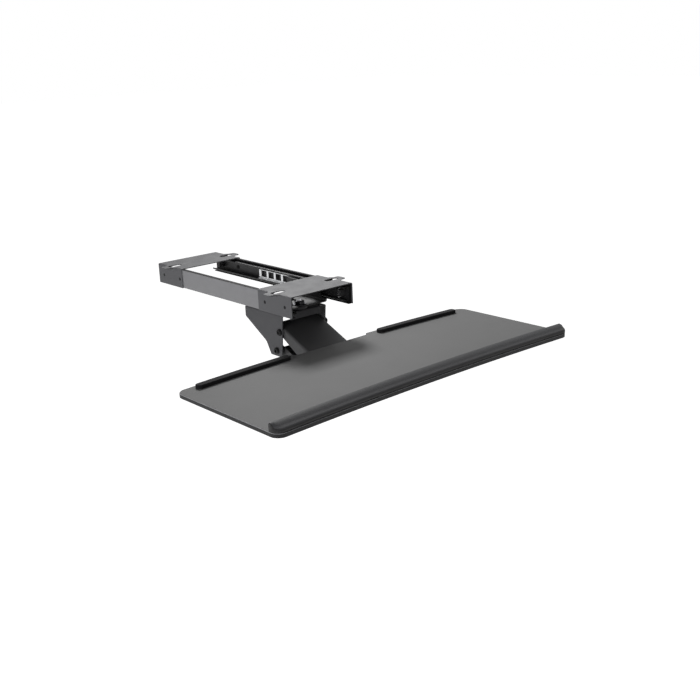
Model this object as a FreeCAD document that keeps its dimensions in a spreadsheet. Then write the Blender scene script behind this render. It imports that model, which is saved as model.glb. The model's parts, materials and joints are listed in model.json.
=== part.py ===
"""Under-desk keyboard tray: a mount frame with two ball-bearing slides, a sliding carriage with a swivel,
a parallelogram lift arm, a tilting head and a bowed board with a palm rest and two stop strips.

Frame: +Z up, +X to the user's right, +Y under the desk. The origin is the middle of the mount frame,
on the plane that meets the underside of the desk. Millimetres.
"""
import FreeCAD, Part
import os
import re
import Sketcher
from FreeCAD import Rotation, Vector

DOC = FreeCAD.newDocument("keyboard_tray")
SHEET = DOC.addObject("Spreadsheet::Sheet", "sizes")
NODES = []

# Driving dimensions: name, size, meaning. Each is written once.
DRIVING = (
    # mount frame
    ("frame_length", 436, "mount frame, front to back"),
    ("frame_width", 144.2, "across the outer faces of the flanges"),
    ("frame_height", 39.4, "desk to the bottom of the flanges"),
    ("front_plate_depth", 97, "front cross plate, front to back"),
    ("rear_plate_depth", 86, "rear cross plate, front to back"),
    ("slot_setback", 48.5, "frame's end to its desk slots"),
    ("plate_gauge", 1.6, "cross plate steel"),
    ("plate_bend", 2.6, "outer bend of the cross plate"),
    ("ear_reach", 17.9, "screw ear, beyond the flange"),
    ("ear_breadth", 22, "screw ear, front to back"),
    ("ear_corner", 5, "corner radius of the screw ear"),
    ("ear_root", 6, "slanted root of the screw ear"),
    ("ear_lap", 10, "screw ear into the plate"),
    ("desk_slot_width", 13, "slot for a desk screw"),
    ("desk_slot_length", 30, "slot for a desk screw, end to end"),
    ("desk_slot_inset", 12, "ear tip to the end of its slot"),
    ("desk_slot_notch", 6, "depth of the slot where it crosses the bend"),
    ("rail_window", 18, "opening in the rail's flange under a slot"),
    ("rail_gauge", 1.5, "rail steel"),
    ("rail_breadth", 7.3, "rail channel, web to flange edge"),
    ("rail_setback", 2, "plate end to rail end"),
    ("rivet_pitch", 58, "two rivets in each flange"),
    ("rivet_drop", 21.5, "rivets below the desk"),
    ("rivet_shank", 4.8, "frame rivet, shank"),
    ("rivet_head", 6.4, "frame rivet, low head"),
    ("rivet_rise", 0.5, "frame rivet, low head"),
    # ball-bearing slides
    ("slide_drop", 20.5, "slide centre line below the desk"),
    ("slide_height", 27, "outer member, over its flanges"),
    ("slide_depth", 12.7, "outer member, web to mouth"),
    ("slide_gauge", 1.2, "slide steel"),
    ("slide_lip", 2, "lip at the mouth of the outer member"),
    ("slide_inset", 4, "rail end to slide end"),
    ("runner_height", 16.6, "inner member, over its flanges"),
    ("runner_depth", 6, "inner member, web to flange edge"),
    ("runner_length", 151, "inner member"),
    ("runner_setback", 17, "outer member's front end to the inner one's"),
    ("stop_length", 6, "rubber stop along the slide"),
    ("stop_gap", 0.3, "inner member's end to its stop"),
    ("stop_setback", 19.7, "rear stop to the outer member's rear end"),
    ("stop_height", 12, "rubber stop"),
    ("ball_play", 0.05, "ball to its races"),
    ("cage_gauge", 0.8, "ball cage strip"),
    ("cage_length", 172, "ball cage"),
    ("cage_lag", 79, "inner member's front end to the cage's"),
    ("cage_pitch", 23.4, "windows and balls of the cage"),
    ("cage_window_length", 17.4, "window in the cage"),
    ("cage_window_height", 12.9, "window in the cage"),
    ("cage_windows", 7, "how many windows a cage has"),
    ("cage_web_play", 3.3, "cage web to the outer member's web"),
    ("ball_hole_play", 0.15, "ball to its hole in the cage"),
    ("ball_inset", 4.4, "mouth of the outer member to the row of balls"),
    ("slide_rivet", 4, "rivet through the slide and the rail"),
    ("slide_rivet_head", 7.6, "its flat head"),
    ("slide_rivet_rise", 1.4, "its flat head"),
    ("slide_rivet_reach", 135, "rivets each side of the middle"),
    # carriage
    ("carriage_setback", 51, "frame front to the carriage's front edge"),
    ("carriage_depth", 116, "carriage, front to back"),
    ("carriage_gauge", 2, "carriage steel"),
    ("carriage_bend", 4, "outer bend of the carriage"),
    ("carriage_web_drop", 38.5, "desk to the top of the carriage web"),
    ("carriage_wall_drop", 11, "desk to the top of the carriage walls"),
    ("carriage_nose", 20, "carriage front to the front of its walls"),
    ("carriage_nose_slant", 6, "slant at the foot of the wall's front edge"),
    ("carriage_nose_rise", 4, "low edge in front of the walls"),
    ("carriage_wall_corner", 5, "front corners of the carriage walls"),
    ("carriage_screw", 4, "carriage screw"),
    ("carriage_screw_head", 8, "its pan head"),
    ("carriage_screw_rise", 2.8, "its pan head"),
    ("carriage_screw_pitch", 30, "three screws on each side"),
    ("carriage_screw_setback", 14, "carriage's rear edge to the last screw"),
    ("bumper_size", 13, "rubber button inside a carriage wall"),
    ("bumper_depth", 5, "rubber button inside a carriage wall"),
    ("bumper_setback", 1, "wall's front edge to the rubber button"),
    ("spacer_size", 10, "spacer between a wall and the inner member"),
    ("spacer_gauge", 3.9, "spacer between a wall and the inner member"),
    # swivel
    ("swivel_setback", 17, "carriage front to the swivel axis"),
    ("swivel_bolt_size", 10, "swivel bolt shank"),
    ("swivel_head_size", 17, "swivel bolt head, across flats"),
    ("swivel_head_rise", 6.4, "swivel bolt head"),
    ("swivel_washer_size", 27, "steel washers of the swivel"),
    ("swivel_washer_gauge", 1.5, "steel washers of the swivel"),
    ("swivel_nut_rise", 8, "swivel lock nut"),
    ("swivel_tail", 1.5, "bolt end past its nut"),
    ("thrust_size", 30, "nylon thrust washer"),
    ("thrust_gauge", 4.4, "nylon thrust washer"),
    ("slip", 0.1, "between faces that turn on each other"),
    ("shaft_play", 0.05, "shaft to hole, on the radius"),
    # arm bracket
    ("bracket_width", 104, "arm bracket, over its walls"),
    ("bracket_gauge", 2, "arm bracket steel"),
    ("bracket_bend", 6, "outer bend of the arm bracket"),
    ("bracket_setback", 2, "carriage front to the bracket's front"),
    ("bracket_depth", 115, "arm bracket web, front to back"),
    ("bracket_lip_half", 35, "front lip, half its width"),
    ("bracket_lip_drop", 13.5, "front lip, top to bottom"),
    ("bracket_tail_drop", 22, "height of the wall's rear edge"),
    ("bracket_lip_gap", 3, "lip to the bend of the wall"),
    ("upper_pivot_setback", 11.4, "bracket front to the upper pivot"),
    ("upper_pivot_drop", 35.3, "bracket top to the upper pivot"),
    ("pivot_stagger", 11.2, "lower pivot behind the upper one"),
    ("pivot_spacing", 37.4, "lower pivot below the upper one"),
    ("knee_back", 42.6, "upper pivot to the knee of the wall"),
    ("knee_drop", 24.5, "upper pivot to the knee of the wall"),
    ("nose_reach", 2, "lip in front of the web's edge"),
    ("nose_setback", 2, "front edge of the wall behind the web's edge, at its top"),
    ("nose_drop", 7.5, "bracket top to the front of the wall"),
    ("toe_back", 18.5, "lower pivot to the back of the toe"),
    ("toe_front", 13.9, "lower pivot to the front of the toe"),
    ("toe_drop", 10.4, "lower pivot to the bottom of the toe"),
    ("toe_round", 8, "front corner of the toe"),
    ("bracket_corner", 4, "small corners of the bracket wall"),
    ("knee_round", 16, "hollow at the knee of the wall"),
    # lift arm and lower link
    ("arm_slope", 24, "slope of the arm at rest, degrees"),
    ("arm_length", 130, "pivot to pivot"),
    ("arm_play", 2, "arm's flange to the bracket's wall"),
    ("arm_gauge", 2, "arm steel"),
    ("arm_bend", 4, "outer bend of the arm"),
    ("arm_crown", 9, "top face above the pivot line"),
    ("arm_tail", 17.5, "top face behind the upper pivot"),
    ("arm_cover_length", 80, "top face in front of the upper pivot"),
    ("arm_skirt", 16, "flange below the pivot line at the front"),
    ("arm_skirt_run", 60, "upper pivot to where the skirt is full"),
    ("arm_tail_drop", 5, "flange below the pivot line at the rear"),
    ("arm_relief", 6, "relief for the board, below the pivot line"),
    ("arm_relief_slant", 3, "slant down from the cover to the relief"),
    ("arm_eye", 10, "radius about the front pivot"),
    ("bush_size", 12, "nylon bush diameter"),
    ("bush_collar", 16, "collar of the bush"),
    ("link_bush_size", 9, "bush of the lower link"),
    ("link_bush_length", 3.4, "bush of the lower link"),
    ("open_pivot_play", 0.2, "lower link to its front bolt, on the radius"),
    ("link_play", 2, "lower link's flange to the arm's flange"),
    ("link_height", 22, "lower link"),
    ("link_gauge", 2, "lower link steel"),
    ("pivot_bolt_size", 8, "pivot bolts"),
    ("pivot_head_size", 13, "button head of a pivot bolt"),
    ("pivot_head_rise", 4.4, "button head of a pivot bolt"),
    ("pivot_head_rim", 1.2, "straight rim of a button head"),
    ("pivot_nut_size", 13, "pivot lock nut, across flats"),
    ("pivot_nut_rise", 7, "pivot lock nut"),
    ("pivot_tail", 1.5, "bolt end past its nut"),
    ("sleeve_size", 12, "spacer sleeve on a lower pivot"),
    ("sleeve_play", 0.25, "sleeve to what it stands between"),
    ("spring_size", 13, "lift spring, outside"),
    ("spring_wire", 1.6, "lift spring wire"),
    ("spring_play", 0.1, "lift spring to its spool, on the radius"),
    ("spring_span", 44.8, "lift spring, side to side"),
    ("spool_play", 0.3, "spool to the arm's flange"),
    # tilting head
    ("head_rear", 14, "tilt axis to the head's rear edge"),
    ("head_front", 40, "tilt axis to the head's front face"),
    ("head_rise", 12, "tilt axis to the head's top"),
    ("head_gauge", 2, "head bracket steel"),
    ("head_bend", 4, "outer bend of the head bracket"),
    ("head_face_drop", 27, "tilt axis to the bottom of the front face"),
    ("head_heel", 11, "metal about the head's lower pivot"),
    ("head_corner", 5, "upper and front corners of the head's cheeks"),
    ("clamp_radius", 28, "tilt axis to the clamp bolt"),
    ("clamp_washer_size", 17, "washer below the knob"),
    ("tilt_up", 9, "front edge up, degrees"),
    ("tilt_down", 15, "front edge down, degrees"),
    ("tilt_slack", 1, "slot past each limit, degrees"),
    ("slot_play", 0.25, "clamp bolt to the sides of its slot"),
    ("knob_size", 35, "tilt knob"),
    ("knob_depth", 18, "tilt knob"),
    ("knob_lobe_size", 12, "scallop between two lobes"),
    ("knob_lobe_out", 3, "knob's rim to the middle of a scallop"),
    ("knob_foot", 4, "round foot of the knob"),
    ("knob_cap", 3, "closed end of the knob"),
    ("knob_lobes", 6, "how many lobes the knob has"),
    ("knob_insert_size", 13, "threaded insert of the knob"),
    ("knob_gap", 2, "ear face to the knob"),
    # tilt plate
    ("tilt_plate_gauge", 2.5, "tilt plate steel"),
    ("tilt_plate_width", 150, "tilt plate"),
    ("tilt_plate_front", 110, "tilt axis to the plate's front edge"),
    ("tilt_plate_rear", 24, "tilt axis to the plate's rear edge"),
    ("tilt_plate_corner", 8, "corner radius of the tilt plate"),
    ("tilt_ear_gauge", 2, "ear of the tilt plate"),
    ("tilt_ear_play", 0.4, "head cheek to the ear"),
    ("tilt_ear_drop", 14, "tilt axis to the bottom of the ear"),
    ("tilt_ear_rear", 12, "tilt axis to the ear's rear edge"),
    ("tilt_ear_front", 9, "clamp bolt to the front of the ear's foot"),
    ("tilt_ear_slant", 7, "slant of the ear's edges"),
    ("tilt_ear_corner", 4, "corners of the ear"),
    ("tray_screw_size", 4.4, "screw into the board"),
    ("tray_screw_head", 9, "its pan head"),
    ("tray_screw_rise", 2.6, "its pan head"),
    ("tray_screw_bite", 5.4, "depth of the screw in the board"),
    ("tray_screw_reach", 65, "tray screws each side of the middle"),
    ("tray_screw_inset", 11, "edge of the tilt plate to its screws"),
    # board
    ("board_width", 673, "tray board"),
    ("board_depth", 264.1, "board, front to back, at its ends"),
    ("board_thickness", 7.4, "tray board"),
    ("board_rise", 28.1, "tilt axis to the board's underside"),
    ("board_back", 42, "tilt axis to the middle of the rear edge"),
    ("front_bow", 9.2, "front edge, hollow towards the user"),
    ("rear_bow", 15, "rear edge, full away from the user"),
    ("front_corner", 16, "front corners of the board"),
    ("rear_corner", 20, "rear corners of the board"),
    ("edge_round", 1.2, "edges of the board's faces"),
    ("notch_half", 92, "notch in the rear edge, half its width"),
    ("notch_depth", 9.7, "notch in the rear edge"),
    ("notch_taper", 7, "slant of the notch's ends"),
    ("notch_round", 6, "inner corners of the notch"),
    ("notch_margin", 3, "notch cut drawn past the rear edge"),
    # palm rest and stop strips
    ("palm_depth", 21, "palm rest, front to back"),
    ("palm_height", 15, "palm rest, at its crest"),
    ("palm_front_height", 8.6, "palm rest, at its front"),
    ("palm_crest_round", 4, "crest of the palm rest"),
    ("palm_front_round", 5, "front of the palm rest"),
    ("palm_end_inset", 0.5, "end of the palm rest inside the board's end"),
    ("strip_inset", 8, "board's rear edge to the strip"),
    ("strip_depth", 15, "stop strip, front to back"),
    ("strip_height", 6.5, "stop strip"),
    ("strip_near", 105, "middle of the board to a strip"),
    ("strip_end_inset", 32.5, "board's end to the strip's far end"),
    ("strip_corner", 7, "rounded ends of a strip"),
    ("strip_round", 2, "top edges of a strip"),
)

# Worked out from the driving dimensions.
DERIVED = (
    ("half_length", "frame_length / 2"),
    ("half_width", "frame_width / 2"),
    ("slot_row", "half_length - slot_setback"),
    ("ear_tip", "half_width + ear_reach"),
    ("rail_out", "half_width - plate_gauge"),
    ("rail_in", "rail_out - rail_breadth"),
    ("rail_end", "half_length - rail_setback"),
    ("rail_top", "-plate_gauge"),
    ("slide_back", "rail_out - rail_gauge"),
    ("slide_mouth", "slide_back - slide_depth"),
    ("slide_end", "rail_end - slide_inset"),
    ("half_slide", "slide_height / 2"),
    ("half_runner", "runner_height / 2"),
    ("runner_front", "-slide_end + runner_setback"),
    ("runner_rear", "runner_front + runner_length"),
    ("rear_stop", "slide_end - stop_setback - stop_length"),
    ("race_gap", "half_slide - slide_gauge - half_runner"),
    ("ball_size", "race_gap - 2 * ball_play"),
    ("ball_level", "half_runner + race_gap / 2"),
    ("ball_line", "slide_mouth + ball_inset"),
    ("cage_back", "slide_back - slide_gauge - cage_web_play"),
    ("cage_mouth", "slide_mouth + slide_gauge + 0.4"),
    ("cage_half", "ball_level + cage_gauge / 2"),
    ("cage_front", "runner_front + cage_lag"),
    ("cage_rear", "cage_front + cage_length"),
    ("carriage_front", "-half_length + carriage_setback"),
    ("carriage_rear", "carriage_front + carriage_depth"),
    ("carriage_half", "slide_mouth - spacer_gauge"),
    ("carriage_under", "-carriage_web_drop - carriage_gauge"),
    ("swivel_y", "carriage_front + swivel_setback"),
    ("thrust_top", "carriage_under"),
    ("bracket_top", "thrust_top - thrust_gauge - slip"),
    ("bracket_under", "bracket_top - bracket_gauge"),
    ("bracket_half", "bracket_width / 2"),
    ("bracket_in", "bracket_half - bracket_gauge"),
    ("bracket_front", "carriage_front + bracket_setback"),
    ("bracket_rear", "bracket_front + bracket_depth"),
    ("up_y", "bracket_front + upper_pivot_setback"),
    ("up_z", "bracket_top - upper_pivot_drop"),
    ("low_y", "up_y + pivot_stagger"),
    ("low_z", "up_z - pivot_spacing"),
    ("arm_half", "bracket_in - arm_play"),
    ("arm_in", "arm_half - arm_gauge"),
    ("link_half", "arm_in - link_play"),
    ("pivot_radius", "pivot_bolt_size / 2"),
    ("pivot_hole", "pivot_radius + shaft_play"),
    ("tilt_y", "up_y - arm_length * cos(arm_slope)"),
    ("tilt_z", "up_z - arm_length * sin(arm_slope)"),
    ("foot_y", "tilt_y + pivot_stagger"),
    ("foot_z", "tilt_z - pivot_spacing"),
    ("ear_inner", "bracket_half + tilt_ear_play"),
    ("ear_outer", "ear_inner + tilt_ear_gauge"),
    ("clamp_y", "tilt_y - clamp_radius"),
    ("board_under", "tilt_z + board_rise"),
    ("board_top", "board_under + board_thickness"),
    ("board_half", "board_width / 2"),
    ("strip_far", "board_half - strip_end_inset"),
    ("rear_y", "tilt_y + board_back"),
    ("end_rear_y", "rear_y - rear_bow"),
    ("end_front_y", "end_rear_y - board_depth"),
    ("front_y", "end_front_y + front_bow"),
    ("front_radius", "(board_half ^ 2 + front_bow ^ 2) / (2 * front_bow)"),
    ("rear_radius", "(board_half ^ 2 + rear_bow ^ 2) / (2 * rear_bow)"),
    ("front_centre", "front_y - front_radius"),
    ("rear_centre", "rear_y - rear_radius"),
    ("plate_under", "board_under - tilt_plate_gauge"),
    ("swivel_foot", "bracket_under - slip - swivel_washer_gauge"),
    ("spool_radius", "spring_size / 2 - spring_wire - spring_play"),
    ("knob_inner", "ear_outer + knob_gap"),
)

SIZE_NAMES = {row[0] for row in DRIVING + DERIVED}
WORD = re.compile(r"[A-Za-z_]\w*")


def expression(text):
    """An expression on the sheet's names, as the document's objects read it."""
    return WORD.sub(lambda m: "sizes." + m.group() if m.group() in SIZE_NAMES else m.group(), str(text))


def fill_sheet():
    for row, (name, size, meaning) in enumerate(DRIVING, start=1):
        SHEET.set(f"A{row}", name)
        SHEET.set(f"B{row}", str(size))
        SHEET.setAlias(f"B{row}", name)
        SHEET.set(f"C{row}", meaning)
    for row, (name, formula) in enumerate(DERIVED, start=len(DRIVING) + 1):
        SHEET.set(f"A{row}", name)
        SHEET.setAlias(f"B{row}", name)
        SHEET.set(f"B{row}", "=" + formula)
    DOC.recompute()


def size(text):
    """The number that an expression on the sheet gives now."""
    return float(SHEET.evalExpression(expression(text)))


def bind(thing, bindings):
    for name, text in bindings.items():
        thing.setExpression(name, expression(text))
    return thing


def less(text):
    return f"-({text})"


def across(side, inner, outer):
    """The span along X from inner to outer on one side of the middle."""
    return (inner, outer) if side > 0 else (less(outer), less(inner))


# Primitives and booleans

def block(x, y, z):
    """A box, each direction given as a span of two expressions."""
    made = DOC.addObject("Part::Box", "block")
    for name, axis, (low, high) in zip(("Length", "Width", "Height"), "xyz", (x, y, z)):
        bind(made, {name: f"({high}) - ({low})", f"Placement.Base.{axis}": low})
    return made


def turned_to(made, axis, first, second, low):
    """Turn a solid that stands on Z to lie along an axis, starting at low on it."""
    if axis == "x":
        made.Placement.Rotation = Rotation(Vector(0, 1, 0), 90)
        places = (low, first, second)
    elif axis == "y":
        made.Placement.Rotation = Rotation(Vector(1, 0, 0), -90)
        places = (first, low, second)
    else:
        places = (first, second, low)
    return bind(made, {f"Placement.Base.{name}": text for name, text in zip("xyz", places)})


def rod(axis, first, second, span, radius):
    """A cylinder along an axis; first and second place it on the other two axes."""
    made = DOC.addObject("Part::Cylinder", "rod")
    bind(made, {"Radius": radius, "Height": f"({span[1]}) - ({span[0]})"})
    return turned_to(made, axis, first, second, span[0])


def hexagon(axis, first, second, span, flats):
    made = DOC.addObject("Part::Prism", "hexagon")
    made.Polygon = 6
    bind(made, {"Circumradius": f"({flats}) / 2 / cos(30)", "Height": f"({span[1]}) - ({span[0]})"})
    return turned_to(made, axis, first, second, span[0])


def ball(x, y, z, diameter):
    made = DOC.addObject("Part::Sphere", "ball")
    return bind(made, {"Radius": f"({diameter}) / 2", "Placement.Base.x": x, "Placement.Base.y": y,
                       "Placement.Base.z": z})


def join(*shapes):
    if len(shapes) == 1:
        return shapes[0]
    made = DOC.addObject("Part::MultiFuse", "join")
    made.Shapes = list(shapes)
    made.Refine = True
    return made


def cut(base, *tools):
    made = DOC.addObject("Part::Cut", "cut")
    made.Base = base
    made.Tool = join(*tools)
    return made


def common(*shapes):
    made = DOC.addObject("Part::MultiCommon", "common")
    made.Shapes = list(shapes)
    return made


def group(shapes):
    made = DOC.addObject("Part::Compound", "group")
    made.Links = list(shapes)
    return made


def tube(axis, first, second, span, outer, inner):
    past = (f"({span[0]}) - 1", f"({span[1]}) + 1")
    return cut(rod(axis, first, second, span, outer), rod(axis, first, second, past, inner))


def rounded(base, radius, wanted):
    """Fillet the edges that wanted() picks out of the base."""
    DOC.recompute()
    picked = [number for number, edge in enumerate(base.Shape.Edges, start=1) if wanted(edge)]
    made = DOC.addObject("Part::Fillet", "rounded")
    made.Base = base
    made.Edges = [(number, size(radius), size(radius)) for number in picked]
    return made


def near(value, wanted, slack=0.01):
    return abs(value - wanted) < slack


def along(edge, axis):
    """True when an edge is straight and runs along the axis."""
    if len(edge.Vertexes) < 2:
        return False
    run = edge.Vertexes[-1].Point - edge.Vertexes[0].Point
    sideways = [abs(getattr(run, name)) for name in "xyz" if name != axis]
    return max(sideways) < 1e-4 and abs(getattr(run, axis)) > 1e-4


def at(edge, **places):
    """True when the middle of an edge lies at the places given by axis."""
    middle = edge.BoundBox.Center
    return all(near(getattr(middle, name), place) for name, place in places.items())


# Bodies with sketches

PLANES = {"XY": "XY_Plane", "XZ": "XZ_Plane", "YZ": "YZ_Plane"}


def new_body():
    return DOC.addObject("PartDesign::Body", "body")


def outline_sketch(body, plane, offset, points):
    """A closed outline on one of the body's own planes, its corners bound to the sheet."""
    sketch = body.newObject("Sketcher::SketchObject", "outline")
    base = [item for item in body.Origin.OriginFeatures if item.Role == PLANES[plane]][0]
    sketch.AttachmentSupport = [(base, "")]
    sketch.MapMode = "FlatFace"
    bind(sketch, {"AttachmentOffset.Base.z": offset})
    corners = [Vector(size(u), size(v), 0) for u, v in points]
    for index, corner in enumerate(corners):
        sketch.addGeometry(Part.LineSegment(corner, corners[(index + 1) % len(corners)]))
    for index, (u, v) in enumerate(points):
        after = (index + 1) % len(points)
        sketch.addConstraint(Sketcher.Constraint("Coincident", index, 2, after, 1))
        for kind, text in (("DistanceX", u), ("DistanceY", v)):
            number = sketch.addConstraint(Sketcher.Constraint(kind, -1, 1, index, 1, size(text)))
            sketch.setExpression(f"Constraints[{number}]", expression(text))
    return sketch


def prism(plane, points, span, rounds=()):
    """A padded outline. rounds gives (corner numbers, radius) for the corners that are rounded."""
    body = new_body()
    low, high = span if plane != "XZ" else (less(span[1]), less(span[0]))
    sketch = outline_sketch(body, plane, low, points)
    pad = body.newObject("PartDesign::Pad", "pad")
    pad.Profile = sketch
    bind(pad, {"Length": f"({high}) - ({low})"})
    sketch.Visibility = False
    names = {"XY": "xy", "XZ": "xz", "YZ": "yz"}[plane]
    normal = ({"x", "y", "z"} - set(names)).pop()
    last = pad
    for corners, radius in rounds:
        DOC.recompute()
        places = [(size(points[corner][0]), size(points[corner][1])) for corner in corners]
        wanted = []
        for number, edge in enumerate(last.Shape.Edges, start=1):
            for u, v in places:
                if along(edge, normal) and at(edge, **{names[0]: u, names[1]: v}):
                    wanted.append(f"Edge{number}")
        fillet = body.newObject("PartDesign::Fillet", "fillet")
        fillet.Base = (last, wanted)
        bind(fillet, {"Radius": radius})
        last = fillet
    return body


def publish(label, made):
    """Name a finished sub-part; its Label names its file."""
    made.Label = label
    NODES.append(made)
    return made


def tipped(made, y, z, angle):
    """Place a piece that was made along -Y from its own pivot: turn it about X and move it to (y, z)."""
    made.Placement.Rotation = Rotation(Vector(1, 0, 0), size(angle))
    return bind(made, {"Placement.Base.y": y, "Placement.Base.z": z})


def channel(side_out, side_in, top, bottom, gauge):
    """Corners of an upside-down U section on XZ, from its outer half width."""
    return [(less(side_out), top), (side_out, top), (side_out, bottom), (side_in, bottom),
            (side_in, f"({top}) - ({gauge})"), (less(side_in), f"({top}) - ({gauge})"),
            (less(side_in), bottom), (less(side_out), bottom)]


def slot(x_span, y, width, z_span):
    """A slot along X with round ends, cut straight down."""
    half = f"({width}) / 2"
    run = (f"({x_span[0]}) + {half}", f"({x_span[1]}) - {half}")
    middle = block(run, (f"({y}) - {half}", f"({y}) + {half}"), z_span)
    return join(middle, *[rod("z", end, y, z_span, half) for end in run])


# Mount frame

def mount_plate(sign):
    """A cross plate that laps over both rails, with a slotted screw ear at each end. sign picks the rear."""
    if sign > 0:
        middle, span = "slot_row", ("half_length - rear_plate_depth", "half_length")
    else:
        middle, span = "-slot_row", ("-half_length", "front_plate_depth - half_length")
    section = prism("XZ", channel("half_width", "rail_out", "0", "-frame_height", "plate_gauge"), span,
                    (((0, 1), "plate_bend"), ((4, 5), "plate_bend - plate_gauge")))
    parts, slots = [section], []
    for side in (-1, 1):
        reach = ["half_width - ear_lap", "half_width", "half_width + ear_root", "ear_tip"]
        wide, narrow = "ear_breadth / 2 + ear_root", "ear_breadth / 2"
        steps = [(reach[0], wide), (reach[1], wide), (reach[2], narrow), (reach[3], narrow)]
        corners = [(x, f"{middle} - ({half})") for x, half in steps]
        corners += [(x, f"{middle} + ({half})") for x, half in reversed(steps)]
        if side < 0:
            corners = [(less(x), y) for x, y in corners]
        parts.append(prism("XY", corners, ("-plate_gauge", "0"),
                           (((2, 5), "ear_root"), ((3, 4), "ear_corner"))))
        slot_span = across(side, "ear_tip - desk_slot_inset - desk_slot_length", "ear_tip - desk_slot_inset")
        slots.append(slot(slot_span, middle, "desk_slot_width", ("-desk_slot_notch", "1")))
        for y in rivet_rows(middle):
            slots.append(rod("x", y, "-rivet_drop", across(side, "rail_out - 1", "half_width + 1"),
                             "rivet_shank / 2"))
    return cut(join(*parts), *slots)


def rivet_rows(middle):
    return (f"{middle} - rivet_pitch / 2", f"{middle} + rivet_pitch / 2")


def rail(side):
    """A C channel that opens inward, with windows in its top flange below the desk slots."""
    top, under = "rail_top", "-frame_height"
    corners = [("rail_out", top), ("rail_in", top), ("rail_in", f"{top} - rail_gauge"),
               ("slide_back", f"{top} - rail_gauge"), ("slide_back", f"{under} + rail_gauge"),
               ("rail_in", f"{under} + rail_gauge"), ("rail_in", under), ("rail_out", under)]
    if side < 0:
        corners = [(less(x), z) for x, z in corners]
    section = prism("XZ", corners, ("-rail_end", "rail_end"), (((0, 7), "rail_gauge + 0.6"), ((3, 4), "0.6")))
    tools = []
    for middle in ("-slot_row", "slot_row"):
        window = (f"{middle} - rail_window / 2", f"{middle} + rail_window / 2")
        tools.append(block(across(side, "rail_in - 1", "rail_out + 1"), window, ("-desk_slot_notch", "0")))
        for y in rivet_rows(middle):
            tools.append(rod("x", y, "-rivet_drop", across(side, "slide_back - 1", "rail_out + 1"),
                             "rivet_shank / 2"))
    for y in ("-slide_rivet_reach", "0", "slide_rivet_reach"):
        tools.append(rod("x", y, "-slide_drop", across(side, "slide_back - 1", "rail_out + 1"),
                         "slide_rivet / 2"))
    return cut(section, *tools)


def frame_rivets():
    made = []
    for side in (-1, 1):
        for middle in ("-slot_row", "slot_row"):
            for y in rivet_rows(middle):
                shank = rod("x", y, "-rivet_drop", across(side, "slide_back", "half_width"),
                            "rivet_shank / 2")
                head = rod("x", y, "-rivet_drop", across(side, "half_width", "half_width + rivet_rise"),
                           "rivet_head / 2")
                made.append(join(shank, head))
    return group(made)


# Ball-bearing slides

def outer_member(side):
    """The outer slide member: a C channel with lips at its mouth."""
    half, wall, lip = "half_slide", "half_slide - slide_gauge", "half_slide - slide_gauge - slide_lip"
    upper = [("slide_mouth", lip), ("slide_mouth", half), ("slide_back", half)]
    inside = [("slide_back - slide_gauge", wall), ("slide_mouth + slide_gauge", wall),
              ("slide_mouth + slide_gauge", lip)]
    corners = upper + [(x, less(z)) for x, z in reversed(upper)]
    corners += [(x, less(z)) for x, z in reversed(inside)] + inside
    sign = "-1" if side < 0 else "1"
    corners = [(f"{sign} * ({x})", f"-slide_drop + ({z})") for x, z in corners]
    section = prism("XZ", corners, ("-slide_end", "slide_end"), (((1, 2, 3, 4), "slide_gauge"),))
    holes = [rod("x", y, "-slide_drop", across(side, "slide_back - 3", "slide_back + 1"), "slide_rivet / 2")
             for y in ("-slide_rivet_reach", "0", "slide_rivet_reach")]
    return cut(section, *holes)


def slide_rivets():
    made = []
    for side in (-1, 1):
        for y in ("-slide_rivet_reach", "0", "slide_rivet_reach"):
            face = "slide_back - slide_gauge"
            shank = rod("x", y, "-slide_drop", across(side, face, "rail_out"), "slide_rivet / 2")
            head = rod("x", y, "-slide_drop", across(side, f"{face} - slide_rivet_rise", face),
                       "slide_rivet_head / 2")
            made.append(join(shank, head))
    return group(made)


def slide_stops(low):
    """A rubber block in each outer member; low is the block's front face."""
    made = []
    for side in (-1, 1):
        made.append(block(across(side, "slide_mouth", "slide_back - slide_gauge"),
                          (low, f"{low} + stop_length"),
                          ("-slide_drop - stop_height / 2", "-slide_drop + stop_height / 2")))
    return group(made)


def inner_member(side):
    """The inner member that carries the carriage, a shallow channel on the balls."""
    web = "slide_mouth + slide_gauge"
    upper = [("slide_mouth", "half_runner"), ("slide_mouth + runner_depth", "half_runner"),
             ("slide_mouth + runner_depth", "half_runner - slide_gauge"), (web, "half_runner - slide_gauge")]
    corners = upper + [(x, less(z)) for x, z in reversed(upper)]
    sign = "-1" if side < 0 else "1"
    corners = [(f"{sign} * ({x})", f"-slide_drop + ({z})") for x, z in corners]
    section = prism("XZ", corners, ("runner_front", "runner_rear"), (((0, 7), "slide_gauge"),))
    holes = [rod("x", y, "-slide_drop", across(side, "slide_mouth - 1", f"{web} + 1"), "carriage_screw / 2")
             for y in screw_rows()]
    return cut(section, *holes)


def ball_rows():
    """Where the balls sit along the cage, between its windows."""
    return [f"(cage_front + cage_rear) / 2 + ({step} - cage_windows / 2) * cage_pitch"
            for step in range(int(size("cage_windows")) + 1)]


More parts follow.
